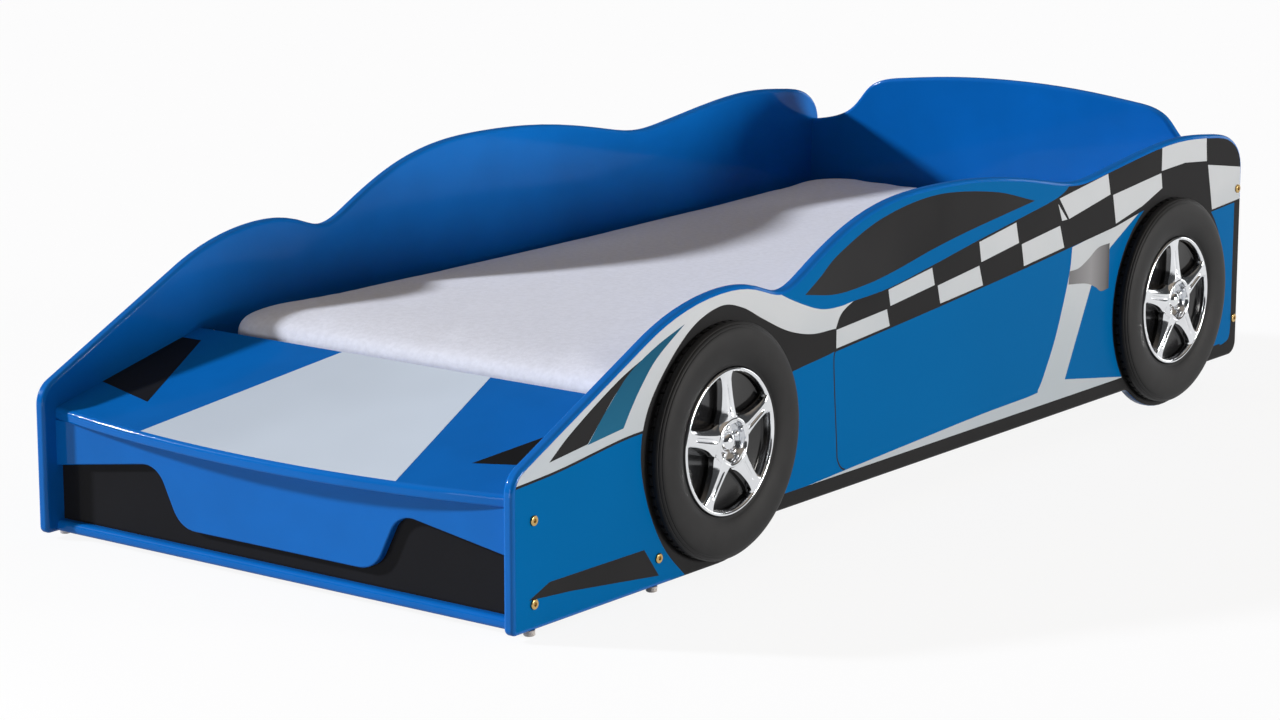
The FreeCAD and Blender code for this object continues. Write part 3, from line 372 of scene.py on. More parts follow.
def moulded_plastic(name, tone, roughness, grain, gloss=0.5):
    """Injection-moulded plastic: a spark-eroded skin that breaks the gloss."""
    made, tree, surface, place = material(name, roughness=roughness, specular_ior_level=gloss)
    mottle(tree, surface, place, (shade(tone, 0.9), shade(tone, 1.12)), size=25)
    skin = node(tree, "ShaderNodeTexNoise", {"Vector": place}, scale=per_metre(grain), detail=3)
    bump(tree, surface, skin.outputs["Fac"], depth=0.05, strength=0.35)
    return made


def plated_metal(name, tone, roughness, ripple):
    """Plated metal: a mirror with slow ripples from the moulding or drawing below the plate."""
    made, tree, surface, place = material(name, roughness=roughness, metallic=1)
    mottle(tree, surface, place, (shade(tone, 0.94), tone), size=30)
    wave = node(tree, "ShaderNodeTexNoise", {"Vector": place}, scale=per_metre(ripple), detail=1)
    bump(tree, surface, wave.outputs["Fac"], depth=0.08, strength=0.4)
    return made


def planed_pine(name, tone):
    """Planed softwood: pale early wood, darker late wood in lines along the board, and fine pores."""
    made, tree, surface, place = material(name, roughness=0.62, ior=1.5)
    along = node(tree, "ShaderNodeMapping", {"Vector": place})
    along.inputs["Scale"].default_value = (0.06, 1, 1)
    lines = node(tree, "ShaderNodeTexNoise", {"Vector": along.outputs["Vector"]}, scale=per_metre(7),
                 detail=4, distortion=0.6)
    stops = [(0.36, shade(tone, 0.66)), (0.47, shade(tone, 0.92)), (0.62, shade(tone, 1.06))]
    ramp = node(tree, "ShaderNodeValToRGB", {"Fac": lines.outputs["Fac"]}, stops)
    tree.links.new(ramp.outputs["Color"], surface.inputs["Base Color"])
    bump(tree, surface, lines.outputs["Fac"], depth=0.15, strength=0.4)
    return made


def woven_webbing(name, tone):
    """Woven polyester webbing: ribs across the strap, drawn coarser than they are so that they show."""
    made, tree, surface, place = material(name, roughness=0.85, sheen_weight=0.2)
    ribs = node(tree, "ShaderNodeTexWave", {"Vector": place}, scale=per_metre(20), bands_direction="Y")
    stops = [(0, shade(tone, 0.75)), (1, tone)]
    ramp = node(tree, "ShaderNodeValToRGB", {"Fac": ribs.outputs["Fac"]}, stops)
    tree.links.new(ramp.outputs["Color"], surface.inputs["Base Color"])
    bump(tree, surface, ribs.outputs["Fac"], depth=0.3)
    return made


def brushed_cotton(name, tone):
    """Brushed cotton molton: raised fibres scatter the light, in tufts drawn coarse enough to show."""
    made, tree, surface, place = material(name, roughness=0.95, sheen_weight=0.35, sheen_roughness=0.6)
    mottle(tree, surface, place, (shade(tone, 0.93), shade(tone, 1.02)), size=7, detail=5)
    nap = node(tree, "ShaderNodeTexNoise", {"Vector": place}, scale=per_metre(3.5), detail=5,
               roughness=0.7)
    bump(tree, surface, nap.outputs["Fac"], depth=1.2, strength=0.5)
    return made


def studio_floor(name, tone, seen_tone, whiteness):
    """Matt grey studio floor that shows white, under the bed's shadow, where it is seen or mirrored."""
    made, tree, surface, _ = material(name, roughness=0.9, specular_ior_level=0.1)
    path = node(tree, "ShaderNodeLightPath").outputs
    mirrored = node(tree, "ShaderNodeMath", {0: path["Is Glossy Ray"], 1: path["Is Transmission Ray"]},
                    operation="MAXIMUM")
    seen = node(tree, "ShaderNodeMath", {0: path["Is Camera Ray"], 1: mirrored.outputs["Value"]},
                operation="MAXIMUM")
    stops = [(0, tone), (1, seen_tone)]
    paint = node(tree, "ShaderNodeValToRGB", {"Fac": seen.outputs["Value"]}, stops)
    tree.links.new(paint.outputs["Color"], surface.inputs["Base Color"])
    share = node(tree, "ShaderNodeMath", {0: seen.outputs["Value"]}, operation="MULTIPLY")
    share.inputs[1].default_value = whiteness
    glow = node(tree, "ShaderNodeEmission")
    mixed = node(tree, "ShaderNodeMixShader", {0: share.outputs["Value"], 1: surface.outputs["BSDF"],
                                               2: glow.outputs["Emission"]})
    tree.links.new(mixed.outputs["Shader"], tree.nodes["Material Output"].inputs["Surface"])
    return made


# Pieces

def add_piece(name, shape, finish, stands_for=(), soft_angle=0):
    """Object from a mesh under construction, riding on the bed; edges up to soft_angle look smooth."""
    bmesh.ops.recalc_face_normals(shape, faces=shape.faces)
    mesh = bpy.data.meshes.new(name)
    shape.to_mesh(mesh)
    shape.free()
    mesh.materials.append(finish)
    piece = bpy.data.objects.new(name, mesh)
    bpy.context.scene.collection.objects.link(piece)
    if soft_angle:
        mesh.shade_smooth()
        mesh.set_sharp_from_angle(angle=math.radians(soft_angle))
    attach(piece, BED)
    if stands_for:
        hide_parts(*stands_for)
    return piece


def coat_nodes(names, finish):
    """Give nodes of the frame a finish."""
    for name in names:
        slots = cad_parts[name].data.materials
        slots.clear()
        slots.append(finish)


# Outlines of prints

def straight(points):
    """Corners of a straight run."""
    return [Vector(p) for p in points]


def smooth(points, steps=8):
    """Points of a smooth curve through others."""
    ends = [Vector(p) for p in points]
    ends = [ends[0] * 2 - ends[1]] + ends + [ends[-1] * 2 - ends[-2]]
    found = []
    for a, b, c, d in zip(ends, ends[1:], ends[2:], ends[3:]):
        for i in range(steps):
            t = i / steps
            found.append(((b * 2) + (c - a) * t + (a * 2 - b * 5 + c * 4 - d) * t ** 2
                          + (b * 3 - a - c * 3 + d) * t ** 3) / 2)
    return found + [ends[-2]]


def round_run(circle, start, end, steps=48):
    """Points of a circle (middle, middle, radius) between two angles in degrees."""
    u, v, radius = circle
    turns = [math.radians(start + (end - start) * i / steps) for i in range(steps + 1)]
    return [Vector((u + radius * math.cos(t), v + radius * math.sin(t))) for t in turns]


def ribbon(points, width):
    """Outline of a line of a width in millimetres along a curve."""
    middle = smooth(points)
    left, right = [], []
    for before, here, after in zip(middle[:1] + middle, middle, middle[1:] + middle[-1:]):
        ahead = (after - before).normalized()
        aside = Vector((-ahead.y, ahead.x)) * (width / 2)
        left.append(here + aside)
        right.append(here - aside)
    return left + right[::-1]


def fender_band():
    """Silver band over the front wing: crease below, the panel's edge above."""
    tip = smooth(BAND_NOSE[::-1])
    crown = smooth([(684, 282), (651, 280), (609, 284), (554, 303), (506, 325)])
    return smooth(CREASE) + straight([(320, 205), (560, 235), (645, 245)]) + tip + crown \
        + straight([(498, BEYOND), (-10, BEYOND)])


def front_arch():
    """Charcoal arch round the front wheel with a tail that runs to the door."""
    foot = smooth([(645, 224), (621, 221), (577, 217), (540, 213)])
    return smooth(FRONT_ARCH) + foot + straight([(480, 150), (480, -10)])


def checker_band():
    """Charcoal band over the door and the rear wheel, on which the cells of the check pattern lie."""
    rear = [(1492, 250), (1612, 265), (1710, 271), (1710, BEYOND), (1222, BEYOND)]
    return straight(BAND_FOOT + rear) + smooth(BAND_TOP) + smooth(BAND_NOSE)


def side_window():
    """Window above the door."""
    roof = [(577, 307), (609, 324), (651, 348), (746, 379), (872, 392), (1012, 377), (1119, 350)]
    foot = [(1119, 350), (965, 334), (872, 322), (782, 307), (716, 299), (645, 297), (577, 307)]
    return smooth(roof) + smooth(foot)


def rear_pillar():
    """Silver pillar behind the door, with a thin wedge along the sill."""
    rear = [(1400, 293), (1324, 256), (1273, 208), (1208, 87), (1364, 63), (1364, 50), (560, 50)]
    return straight([(560, 60)]) + smooth(DOOR_EDGE[DOOR_FOOT:]) + straight(rear)


def air_intake():
    """Grey air intake at the head of the rear pillar."""
    return smooth([(1214, 238), (1239, 239), (1264, 248), (1290, 260), (1321, 262)]) \
        + smooth([(1321, 198), (1300, 197), (1285, 205), (1259, 214), (1212, 220)])


def headlight():
    """Teal headlight in the silver band."""
    outer = smooth([(327, 312), (272, 295), (222, 273), (195, 253), (165, 226), (139, 200)])
    inner = smooth([(207, 207), (222, 228), (242, 252), (272, 280), (327, 312)])
    return outer + inner


def headlight_wedge():
    """Charcoal wedge ahead of the headlight."""
    outer = smooth([(242, 283), (202, 268), (158, 247), (122, 228), (96, 213), (67, 193)])
    return outer + straight([(139, 201)]) + smooth([(165, 226), (195, 253), (242, 283)])


def rear_border():
    """Charcoal border round the lower rear corner."""
    corner = smooth([(1626, 60), (1655, 60), (1675, 66), (1680, 84)])
    return corner + straight([(1680, 280), (1710, 280), (1710, -10), (1590, -10), (1590, 60)])


def sill():
    """Charcoal sill between the wheels."""
    return straight([(346, -10), (1650, -10), (1650, 62), (410, 61)])


def front_vent():
    """Charcoal vent low on the nose."""
    return straight([(29, 38), (67, 52), (247, 51), (276, 13), (108, 32)])


# Films cut to shape

def flat_outline(name, direction):
    """Outer edge of a node's flat face that looks along a direction."""
    mesh = bmesh.new()
    mesh.from_mesh(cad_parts[name].data)
    bmesh.ops.remove_doubles(mesh, verts=mesh.verts, dist=SAME_POINT)
    facing = [f for f in mesh.faces if f.normal.dot(direction) > SAME_WAY]
    level = max(f.calc_center_median().dot(direction) for f in facing)
    flat = {f for f in facing if level - f.calc_center_median().dot(direction) < SAME_LEVEL}
    edges = {e for f in flat for e in f.edges if sum(g in flat for g in e.link_faces) == 1}
    loops = []
    while edges:
        edge = edges.pop()
        first, corner = edge.verts
        loop = [first.co.copy()]
        while corner != first:
            loop.append(corner.co.copy())
            edge = next(e for e in corner.link_edges if e in edges)
            edges.discard(edge)
            corner = edge.other_vert(corner)
        loops.append(loop)
    mesh.free()
    return max(loops, key=lambda loop: sum((a - b).length for a, b in zip(loop, loop[1:])))


def counter_clockwise(outline):
    """Outline turned round if it runs clockwise."""
    area = sum(a.x * b.y - b.x * a.y for a, b in zip(outline, outline[1:] + outline[:1]))
    return outline if area > 0 else outline[::-1]


def grown(board, distance):
    """Outline moved outwards by a distance."""
    board = counter_clockwise(board)
    moved = []
    for before, here, after in zip(board[-1:] + board, board, board[1:] + board[:1]):
        ahead = (after - before).normalized()
        moved.append(here + Vector((ahead.y, -ahead.x)) * distance)
    return moved


def outside(board, point):
    """How far a point lies outside an outline, or zero inside it."""
    crossings = 0
    nearest = math.inf
    for a, b in zip(board, board[1:] + board[:1]):
        if (a.y > point.y) != (b.y > point.y):
            crossings += point.x < a.x + (point.y - a.y) / (b.y - a.y) * (b.x - a.x)
        foot, share = geometry.intersect_point_line(point, a, b)
        foot = a if share < 0 else b if share > 1 else foot
        nearest = min(nearest, (foot.to_2d() - point).length)
    return 0 if crossings % 2 else nearest


def cut_films(board, films, reach=()):
    """Cut overlapping outlines on a board to what shows: for each film, its triangles.

    Inside the outline called reach, films also go over the board's rounded edge.
    """
    shapes = [board]
    if reach:
        shapes += [grown(board, step) for step in EDGE_STEPS] + [straight(reach)]
    owners = [-1] * len(shapes) + [i for i, film in enumerate(films) for outline in film]
    over_edge = {len(shapes) - 2, len(shapes) - 1} if reach else {0}
    points, faces = [], []
    for outline in shapes + [outline for film in films for outline in film]:
        faces.append(list(range(len(points), len(points) + len(outline))))
        points += counter_clockwise(outline)
    found, _, triangles, _, _, sources = geometry.delaunay_2d_cdt(points, [], faces, 1, CUT_FINENESS)
    cut = [[] for film in films]
    for triangle, source in zip(triangles, sources):
        top = max(owners[s] for s in source)
        if top >= 0 and (0 in source or over_edge <= set(source)):
            cut[top].append([found[i] for i in triangle])
    return cut


def film_mesh(triangles, lift, film):
    """Thin closed film from flat triangles; lift turns a flat point and a height into a place."""
    mesh = bmesh.new()
    corners = {}
    for triangle in triangles:
        verts = []
        for p in triangle:
            key = (round(p.x, CUT_DIGITS), round(p.y, CUT_DIGITS))
            if key not in corners:
                corners[key] = mesh.verts.new(lift(p.x, p.y, film))
            verts.append(corners[key])
        if len(set(verts)) == 3:
            mesh.faces.new(verts)
    bmesh.ops.dissolve_limit(mesh, angle_limit=math.radians(FLAT_ANGLE), verts=mesh.verts,
                             edges=mesh.edges)
    bmesh.ops.recalc_face_normals(mesh, faces=mesh.faces)
    top = list(mesh.faces)
    down = lift(0, 0, 0) - lift(0, 0, film)
    for made in bmesh.ops.extrude_face_region(mesh, geom=top)["geom"]:
        if isinstance(made, bmesh.types.BMVert):
            made.co += down
    return mesh


# Wheels, drawn about the X axis with the side panel's face at zero, in metres

def turn_section(mesh, section, steps, dent=None):
    """Closed solid turned about X from a section in millimetres; dent lowers places on it."""
    rings = []
    for i in range(steps):
        angle = 2 * math.pi * i / steps
        ring = []
        for out, radius in section:
            if radius == 0 and rings:
                ring.append(rings[0][len(ring)])
                continue
            reach = (radius - (dent(i, out, radius) if dent else 0)) * MM
            ring.append(mesh.verts.new((out * MM, reach * math.cos(angle), reach * math.sin(angle))))
        rings.append(ring)
    for ring, after in zip(rings, rings[1:] + rings[:1]):
        for i in range(len(section)):
            j = (i + 1) % len(section)
            corners = []
            for v in (ring[i], ring[j], after[j], after[i]):
                if v not in corners:
                    corners.append(v)
            if len(corners) > 2:
                mesh.faces.new(corners)
    return mesh


def on_wheel(mesh, end, side):
    """Move a wheel piece from the axle to its place on a side panel."""
    low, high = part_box("tyre_%s_left" % end)
    mesh.transform(Matrix.Translation((PANEL_HIGH.x, (low.y + high.y) / 2, (low.z + high.z) / 2)))
    if side < 0:
        mesh.transform(Matrix.Diagonal((-1, 1, 1, 1)))
    return mesh


def tyre_mesh(sizes):
    """Tyre with notches in the tread beside the panel."""
    def notch(i, out, radius):
        inside = out <= NOTCH_END and radius > TREAD_FOOT and i % NOTCH_STEPS == 0
        return sizes.notch_depth / MM if inside else 0

    return turn_section(bmesh.new(), TYRE_SECTION, NOTCH_COUNT * NOTCH_STEPS, notch)


def spoke_turns():
    """Angles of the spokes round the axle."""
    return [math.radians(SPOKE_START + 360 / SPOKE_COUNT * i) for i in range(SPOKE_COUNT)]


def spoke_section(face, foot, height, drop, groove):
    """Half section of a chromed spoke from foot to middle: a bevel, then a ridge beside a groove.

    Its corners are eased by a few tenths of a millimetre.
    """
    edge = face * GROOVE_SHARE
    side = [(foot + 0.8, SPOKE_BACK), (foot + 0.3, height - drop - 0.6), (foot - 0.4, height - drop)]
    ridge = [(face + 0.5, height - 0.5), (face - 0.5, height - 0.1), (face - 1.4, height),
             (edge + 0.8, height)]
    dip = [(edge, height - 0.3 * groove), (edge * 0.7, height - 0.95 * groove), (0, height - groove)]
    return side + ridge + dip


def block_section(face, foot, height, drop, groove):
    """Half section of the black block below a spoke, a little wider than the spoke's foot."""
    return [(foot + 1.6, BLOCK_BACK), (foot + 1.4, BLOCK_FACE - 0.8), (foot + 0.6, BLOCK_FACE),
            (0, BLOCK_FACE)]


def add_spoke(mesh, turn, half_section):
    """Spoke from the hub to the ring, in the direction of an angle."""
    rows = []
    for radius, *shape in SPOKE_STATIONS:
        half = half_section(*shape)
        whole = half + [(-across, out) for across, out in half[-2::-1]]
        rows.append([mesh.verts.new((out * MM, (radius * math.cos(turn) - across * math.sin(turn)) * MM,
                                     (radius * math.sin(turn) + across * math.cos(turn)) * MM))
                     for across, out in whole])
    for low, high in zip(rows, rows[1:]):
        for i in range(len(low)):
            j = (i + 1) % len(low)
            mesh.faces.new((low[i], low[j], high[j], high[i]))
    mesh.faces.new(rows[0])
    mesh.faces.new(rows[-1])


def add_dome(mesh, out, radius, rise, y, z):
    """Small rounded stud standing on a face."""
    arc = [math.radians(angle) for angle in DOME_ANGLES]
    dome = [(out + rise * math.sin(a), radius * math.cos(a)) for a in arc]
    section = [(out - STUD_ROOT, 0), (out + rise, 0)] + dome[1:] + [(out - STUD_ROOT, radius)]
    stud = turn_section(bmesh.new(), section, STUD_ROUND)
    stud.transform(Matrix.Translation((0, y * MM, z * MM)))
    copy = bpy.data.meshes.new("stud")
    stud.to_mesh(copy)
    stud.free()
    mesh.from_mesh(copy)
    bpy.data.meshes.remove(copy)


def rim_mesh():
    """Ring, collar and five spokes."""
    mesh = turn_section(bmesh.new(), RING_SECTION, RING_ROUND)
    turn_section(mesh, COLLAR_SECTION, HUB_ROUND)
    for turn in spoke_turns():
        add_spoke(mesh, turn, spoke_section)
    return mesh


def dish_mesh():
    """Black dish with a block below each spoke."""
    mesh = turn_section(bmesh.new(), DISH_SECTION, HUB_ROUND)
    for turn in spoke_turns():
        add_spoke(mesh, turn, block_section)
    return mesh


def cap_mesh(sizes):
    """Hub cap: a dome in the middle and five lugs round it."""
    mesh = turn_section(bmesh.new(), CAP_SECTION, CAP_ROUND)
    circle = sizes.lug_circle / MM
    for turn in spoke_turns():
        y, z = circle * math.cos(turn), circle * math.sin(turn)
        add_dome(mesh, LUG_FACE, sizes.lug / MM, LUG_RISE, y, z)
    return mesh


# Mattress

def mattress_start(sizes):
    """Evenly gridded copy of the mattress in the frame."""
    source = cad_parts["mattress"]
    piece = bpy.data.objects.new("mattress_cover", source.data.copy())
    bpy.context.scene.collection.objects.link(piece)
    grid = piece.modifiers.new("grid", "REMESH")
    grid.mode = "VOXEL"
    grid.voxel_size = sizes.voxel
    return freeze(piece)


def freeze(piece):
    """Apply what modifiers a piece has."""
    seen = piece.evaluated_get(bpy.context.evaluated_depsgraph_get())
    mesh = bpy.data.meshes.new_from_object(seen)
    piece.modifiers.clear()
    piece.data = mesh
    return piece


def fill_mattress(piece):
    """Press the cover out from inside and let it settle, with cloth simulation."""
    cloth = piece.modifiers.new("filling", "CLOTH")
    cloth.settings.use_pressure = True
    cloth.settings.uniform_pressure_force = FILL_PRESSURE
    cloth.settings.effector_weights.gravity = 0
    cloth.settings.quality = FILL_QUALITY
    cloth.point_cache.frame_start = 1
    cloth.point_cache.frame_end = FILL_FRAMES
    scene = bpy.context.scene
    for number in range(1, FILL_FRAMES + 1):
        scene.frame_set(number)
    freeze(piece)
    scene.frame_set(1)


def settle_mattress(piece, start, sizes):
    """Hold the filled cover to its cap, flat on the slats and inside the boards, softly uneven."""
    low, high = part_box("mattress")
    middle = (low + high) / 2
    side = PANEL_LOW.x - SIDE_ROOM * MM
    end_room = END_ROOM * MM
    large, small = (per_metre(patch) for patch in SOFT_PATCHES)
    for vert, rest in zip(piece.data.vertices, start):
        move = vert.co - rest
        if move.length > sizes.fill_cap:
            move *= sizes.fill_cap / move.length
        place = rest + move
        share = min(1, max(0, (rest.z - low.z) / (FIRM_SHARE * (high.z - low.z))))
        soft = noise.noise(rest * large + Vector(SOFT_SHIFT)) + 0.5 * noise.noise(rest * small)
        end = (rest.y - middle.y) / (high.y - middle.y)
        place.x = min(side, max(-side, place.x))
        place.y = min(high.y + end_room, max(low.y - end_room, place.y))
        place.z = max(low.z, place.z + share * (soft * sizes.crumple + end ** 2 * sizes.sag))
        vert.co = place


# Operators

class CARBED_OT_boards(bpy.types.Operator):
    """Lacquer the boards."""
    bl_idname = "carbed.boards"
    bl_label = "Boards"

    def execute(self, context):
        finish = context.scene.carbed_finish
        blue = lacquered_board("Blue gloss lacquer on fibreboard", finish.blue, coat=0.25)
        black = lacquered_board("Black satin lacquer on fibreboard", finish.black, coat=0.05)
        coat_nodes(BLUE_NODES, blue)
        coat_nodes(BLACK_NODES, black)
        return {"FINISHED"}


class CARBED_OT_side_prints(bpy.types.Operator):
    """Cut the printed films of both side panels."""
    bl_idname = "carbed.side_prints"
    bl_label = "Side prints"

    def execute(self, context):
        finish = context.scene.carbed_finish
        sizes = context.scene.carbed_sizes
        front, foot = PANEL_LOW.y, PANEL_LOW.z
        charcoal = printed_film("Charcoal vinyl film", shade(finish.film_black, 1.12),
                                finish.film_black, patch=150)
        # The silver film is darker towards the panel's foot: painted shade.
        silver = graded_film("Silver-white vinyl film", "Z", foot, SILVER_FADE,
                             [(0, finish.film_silver_painted_shade), (1, finish.film_silver)], drift=0.5)
        # The window film is lighter towards its front and rear ends: a painted reflection.
        window_film_painted_reflection = graded_film("Charcoal vinyl film of the window", "Y", front, WINDOW_FADE,
                            [(0, shade(finish.film_black, 1.6)), (0.55, finish.film_black),
                             (1, shade(finish.film_black, 1.3))], drift=0.25)
        teal = graded_film("Teal vinyl film", "Z", foot, TEAL_FADE,
                           [(0, shade(finish.film_teal, 1.25)), (1, shade(finish.film_teal, 0.85))])
        grey = graded_film("Graded grey vinyl film", "Y", front, INTAKE_FADE,
                           [(0, shade(finish.intake, 0.6)), (0.55, finish.intake),
                            (0.9, shade(finish.intake, 0.55)), (1, shade(finish.intake, 0.3))])
        blue = printed_film("Blue vinyl film", shade(finish.film_blue, 1.05), finish.film_blue,
                            patch=260)
        arch = round_run(REAR_ARCH, 0, REAR_ARCH_END)
        seams = [ribbon(CREASE, sizes.crease_line / MM), ribbon(DOOR_EDGE, sizes.door_line / MM)]
        films = [
            ("panel_blue", [straight(PANEL)], blue, "blue_lacquer"),
            ("fender_band", [fender_band()], silver, "print_silver"),
            ("headlight_wedge", [headlight_wedge()], charcoal, "print_black"),
            ("headlight", [headlight()], teal, "print_teal"),
            ("rear_pillar", [rear_pillar()], silver, "print_silver"),
            ("air_intake", [air_intake()], grey, "print_silver"),
            ("wheel_arches", [front_arch(), arch, sill(), rear_border(), checker_band()], charcoal,
             "print_black"),
            ("side_window", [side_window()], window_film_painted_reflection, "print_black"),
            ("checker_cells", [straight(cell) for cell in CELLS], silver, "print_silver"),
            ("front_vent", [front_vent()], charcoal, "print_black"),
            ("seam_lines", seams, charcoal, "print_black"),
        ]
        edge = flat_outline("side_panel_left", Vector((1, 0, 0)))
        board = [Vector(((p.y - front) / MM, (p.z - foot) / MM)) for p in edge]
        cut = cut_films(board, [outlines for _, outlines, _, _ in films], EDGE_REACH)
        for side, sign in SIDES.items():
            def lift(y, z, height, sign=sign):
                past = outside(board, Vector((y, z))) if z < EDGE_LOW or y > EDGE_REAR else 0
                drop = EDGE_RADIUS - math.sqrt(EDGE_RADIUS ** 2 - min(past, EDGE_STEPS[-1]) ** 2)
                across = PANEL_HIGH.x + height - drop * MM
                return Vector((sign * across, front + y * MM, foot + z * MM))
            for (name, _, film, slot), triangles in zip(films, cut):
                mesh = film_mesh(triangles, lift, sizes.film)
                add_piece("print_%s_%s" % (name, side), mesh, film)
        return {"FINISHED"}


class CARBED_OT_hood_prints(bpy.types.Operator):
    """Cut the printed films of the hood."""
    bl_idname = "carbed.hood_prints"
    bl_label = "Hood prints"

    def execute(self, context):
        finish = context.scene.carbed_finish
        sizes = context.scene.carbed_sizes
        # The hood's charcoal film is a darker copy of the side panels' charcoal: painted shade.
        charcoal = printed_film("Charcoal vinyl film on the hood", shade(finish.film_black, 0.6),
                                shade(finish.film_black, 0.5), patch=150)
        # The stripe's silver is darker towards -X: painted shade.
        silver = graded_film("Silver-white vinyl film on the hood", "X", 0, STRIPE_FADE,
                             [(0, shade(finish.hood_silver, 0.86)), (1, finish.hood_silver)], drift=0.3)
        faces = [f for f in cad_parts["hood_panel"].data.polygons if f.normal.z > FACES_UP]
        square = max(faces, key=lambda f: f.area).normal.copy()
        edge = flat_outline("hood_panel", square)
        front = PANEL_LOW.y
        level = edge[0].dot(square)
        board = [Vector((p.x / MM, (p.y - front) / MM)) for p in edge]
        mirrored = [(-x, y) for x, y in HOOD_PATCH]
        films = [("hood_stripe", [straight(STRIPE)], silver, "print_silver"),
                 ("hood_patches", [straight(HOOD_PATCH), straight(mirrored)], charcoal, "print_black")]

        def lift(x, y, height):
            along = front + y * MM
            return Vector((x * MM, along, (level - along * square.y) / square.z)) + square * height

        for (name, _, film, slot), triangles in zip(films, cut_films(board, [f[1] for f in films])):
            add_piece("print_" + name, film_mesh(triangles, lift, sizes.film), film)
        return {"FINISHED"}


class CARBED_OT_wheels(bpy.types.Operator):
    """Model the tyres, dishes, rims and hub caps."""
    bl_idname = "carbed.wheels"
    bl_label = "Wheels"

    def execute(self, context):
        finish = context.scene.carbed_finish
        sizes = context.scene.carbed_sizes
        tyre = moulded_plastic("Black moulded ABS tyre", finish.tyre, roughness=0.55, grain=0.5,
                               gloss=0.16)
        dish = moulded_plastic("Gloss black ABS dish", finish.dish, roughness=0.12, grain=1.5)
        chrome = plated_metal("Chromed ABS", finish.chrome, roughness=0.12, ripple=14)
        pieces = (("tyre", lambda: tyre_mesh(sizes), tyre, "tyre_black", 30),
                  ("rim_dish", dish_mesh, dish, "dish_black", 35),
                  ("wheel_rim", rim_mesh, chrome, "rim_chrome", 40),
                  ("hub_cap", lambda: cap_mesh(sizes), chrome, "rim_chrome", 40))
        for side, sign in SIDES.items():
            for end in WHEELS:
                for name, model, plastic, slot, soft in pieces:
                    label = "_".join((name, end, side))
                    shape = on_wheel(model(), end, sign)
                    add_piece("moulded_" + label, shape, plastic, (label,), soft)
        return {"FINISHED"}


class CARBED_OT_mattress(bpy.types.Operator):
    """Fill the mattress and cover it."""
    bl_idname = "carbed.mattress"
    bl_label = "Mattress"

    def execute(self, context):
        finish = context.scene.carbed_finish
        sizes = context.scene.carbed_sizes
        piece = mattress_start(sizes)
        start = [v.co.copy() for v in piece.data.vertices]
        fill_mattress(piece)
        settle_mattress(piece, start, sizes)
        round_off = piece.modifiers.new("soft", "SUBSURF")
        round_off.levels = round_off.render_levels = 1
        freeze(piece)
        piece.data.materials.clear()
        piece.data.materials.append(brushed_cotton("Brushed cotton molton", finish.cover))
        piece.data.shade_smooth()
        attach(piece, "mattress")
        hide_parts("mattress")
        return {"FINISHED"}


class CARBED_OT_base(bpy.types.Operator):
    """Finish the slats, ledgers, battens, dowels and straps."""
    bl_idname = "carbed.base"
    bl_label = "Slatted base"

    def execute(self, context):
        finish = context.scene.carbed_finish
        wood = [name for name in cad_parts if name.startswith(WOOD_WORDS)]
        coat_nodes(wood, planed_pine("Planed pine", finish.pine))
        coat_nodes(STRAP_NODES, woven_webbing("Polyester webbing", finish.webbing))
        return {"FINISHED"}


class CARBED_OT_hardware(bpy.types.Operator):
    """Finish the bolts, nuts, screws, tacks and glides."""
    bl_idname = "carbed.hardware"
    bl_label = "Hardware"

    def execute(self, context):
        finish = context.scene.carbed_finish
        brass = plated_metal("Brass-plated steel", finish.brass, roughness=0.22, ripple=3)
        zinc = plated_metal("Zinc-plated steel", finish.zinc, roughness=0.35, ripple=2)
        glide = moulded_plastic("Moulded polythene glide", finish.glide, roughness=0.5, grain=0.6)
        coat_nodes(("panel_bolts",), brass)
        coat_nodes(STEEL_NODES, zinc)
        coat_nodes(("glides",), glide)
        return {"FINISHED"}


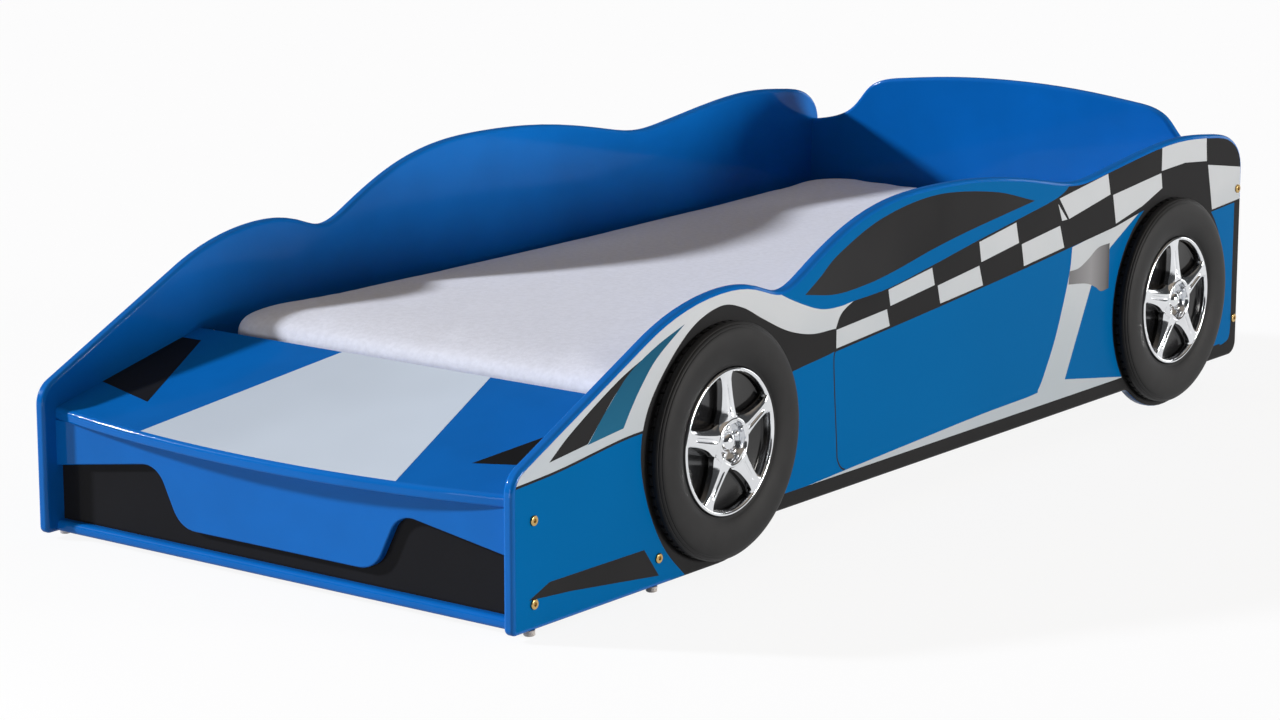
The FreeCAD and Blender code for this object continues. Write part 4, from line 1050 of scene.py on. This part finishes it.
class CARBED_OT_stage(bpy.types.Operator):
    """Set up the floor, the lamps and the camera."""
    bl_idname = "carbed.stage"
    bl_label = "Stage"

    def execute(self, context):
        scene = context.scene
        scene.view_settings.view_transform = "Standard"
        self.lay_floor(scene)
        self.light_sky(scene)
        for name, (place, spread, tone, size) in LAMPS.items():
            self.set_lamp(scene, name, place, spread, tone, size)
        self.set_camera(scene)
        return {"FINISHED"}

    def lay_floor(self, scene):
        """Large floor below the bed."""
        stage = scene.carbed_stage
        ground = bmesh.new()
        bmesh.ops.create_grid(ground, x_segments=2, y_segments=2, size=FLOOR_REACH)
        mesh = bpy.data.meshes.new("floor")
        ground.to_mesh(mesh)
        ground.free()
        paint = studio_floor("Matt studio floor", stage.floor, stage.floor_seen, stage.whiteness)
        mesh.materials.append(paint)
        floor = bpy.data.objects.new("floor", mesh)
        scene.collection.objects.link(floor)

    def light_sky(self, scene):
        """World that is dim all round and bright overhead, like a soft box in a dark studio."""
        world = scene.world or bpy.data.worlds.new("Studio")
        scene.world = world
        world.use_nodes = True
        tree = world.node_tree
        sky = tree.nodes["Background"]
        sky.inputs["Strength"].default_value = scene.carbed_stage.sky
        aim = node(tree, "ShaderNodeTexCoord").outputs["Generated"]
        height = node(tree, "ShaderNodeSeparateXYZ", {"Vector": aim}).outputs["Z"]
        dim, bright = linear(SKY_DIM), linear(SKY_BRIGHT)
        stops = [(0, dim), (SKY_DIM_END, dim), (SKY_BRIGHT_START, bright), (1, bright)]
        ramp = node(tree, "ShaderNodeValToRGB", {"Fac": height}, stops)
        tree.links.new(ramp.outputs["Color"], sky.inputs["Color"])

    def set_lamp(self, scene, name, place, spread, tone, size):
        """Distant lamp as wide as an angle in degrees, or a soft box of a size in metres."""
        light = bpy.data.lights.new(name, "AREA" if size else "SUN")
        light.energy = getattr(scene.carbed_stage, name)
        if size:
            light.size = size
        else:
            light.angle = math.radians(spread)
        light.color = linear(tone)[:3]
        lamp = bpy.data.objects.new(name, light)
        lamp.location = place
        lamp.rotation_euler = (-lamp.location).to_track_quat("-Z", "Y").to_euler()
        scene.collection.objects.link(lamp)

    def set_camera(self, scene):
        """Camera where the photo was taken from."""
        lens = bpy.data.cameras.new("camera")
        lens.sensor_width = SENSOR_WIDTH
        lens.lens = scene.carbed_stage.lens
        camera = bpy.data.objects.new("camera", lens)
        camera.location = CAMERA_PLACE
        camera.rotation_euler = (math.radians(90 - CAMERA_DIP), 0, math.radians(CAMERA_TURN))
        scene.collection.objects.link(camera)
        scene.camera = camera


OPERATORS = (CARBED_OT_boards, CARBED_OT_side_prints, CARBED_OT_hood_prints, CARBED_OT_wheels,
             CARBED_OT_mattress, CARBED_OT_base, CARBED_OT_hardware, CARBED_OT_stage)
GROUPS = {"carbed_finish": CarBedFinish, "carbed_sizes": CarBedSizes, "carbed_stage": CarBedStage}


class CARBED_PT_sidebar(bpy.types.Panel):
    """Colours, sizes and steps of the bed."""
    bl_idname = "CARBED_PT_sidebar"
    bl_label = "Car bed"
    bl_space_type = "VIEW_3D"
    bl_region_type = "UI"
    bl_category = "Car bed"

    def draw(self, context):
        for operator in OPERATORS:
            self.layout.operator(operator.bl_idname)
        for group, kind in GROUPS.items():
            for name in kind.__annotations__:
                self.layout.prop(getattr(context.scene, group), name)


def register():
    """Add the groups of values, the steps and the panel."""
    for group, kind in GROUPS.items():
        bpy.utils.register_class(kind)
        setattr(bpy.types.Scene, group, bpy.props.PointerProperty(type=kind))
    for kind in OPERATORS + (CARBED_PT_sidebar,):
        bpy.utils.register_class(kind)


def unregister():
    """Take away what register adds."""
    for kind in (CARBED_PT_sidebar,) + OPERATORS[::-1]:
        bpy.utils.unregister_class(kind)
    for group, kind in GROUPS.items():
        delattr(bpy.types.Scene, group)
        bpy.utils.unregister_class(kind)


def main():
    """Run all steps in order."""
    register()
    for operator in OPERATORS:
        family, step = operator.bl_idname.split(".")
        getattr(getattr(bpy.ops, family), step)()
    bpy.context.view_layer.update()


if __name__ == "__main__":
    main()
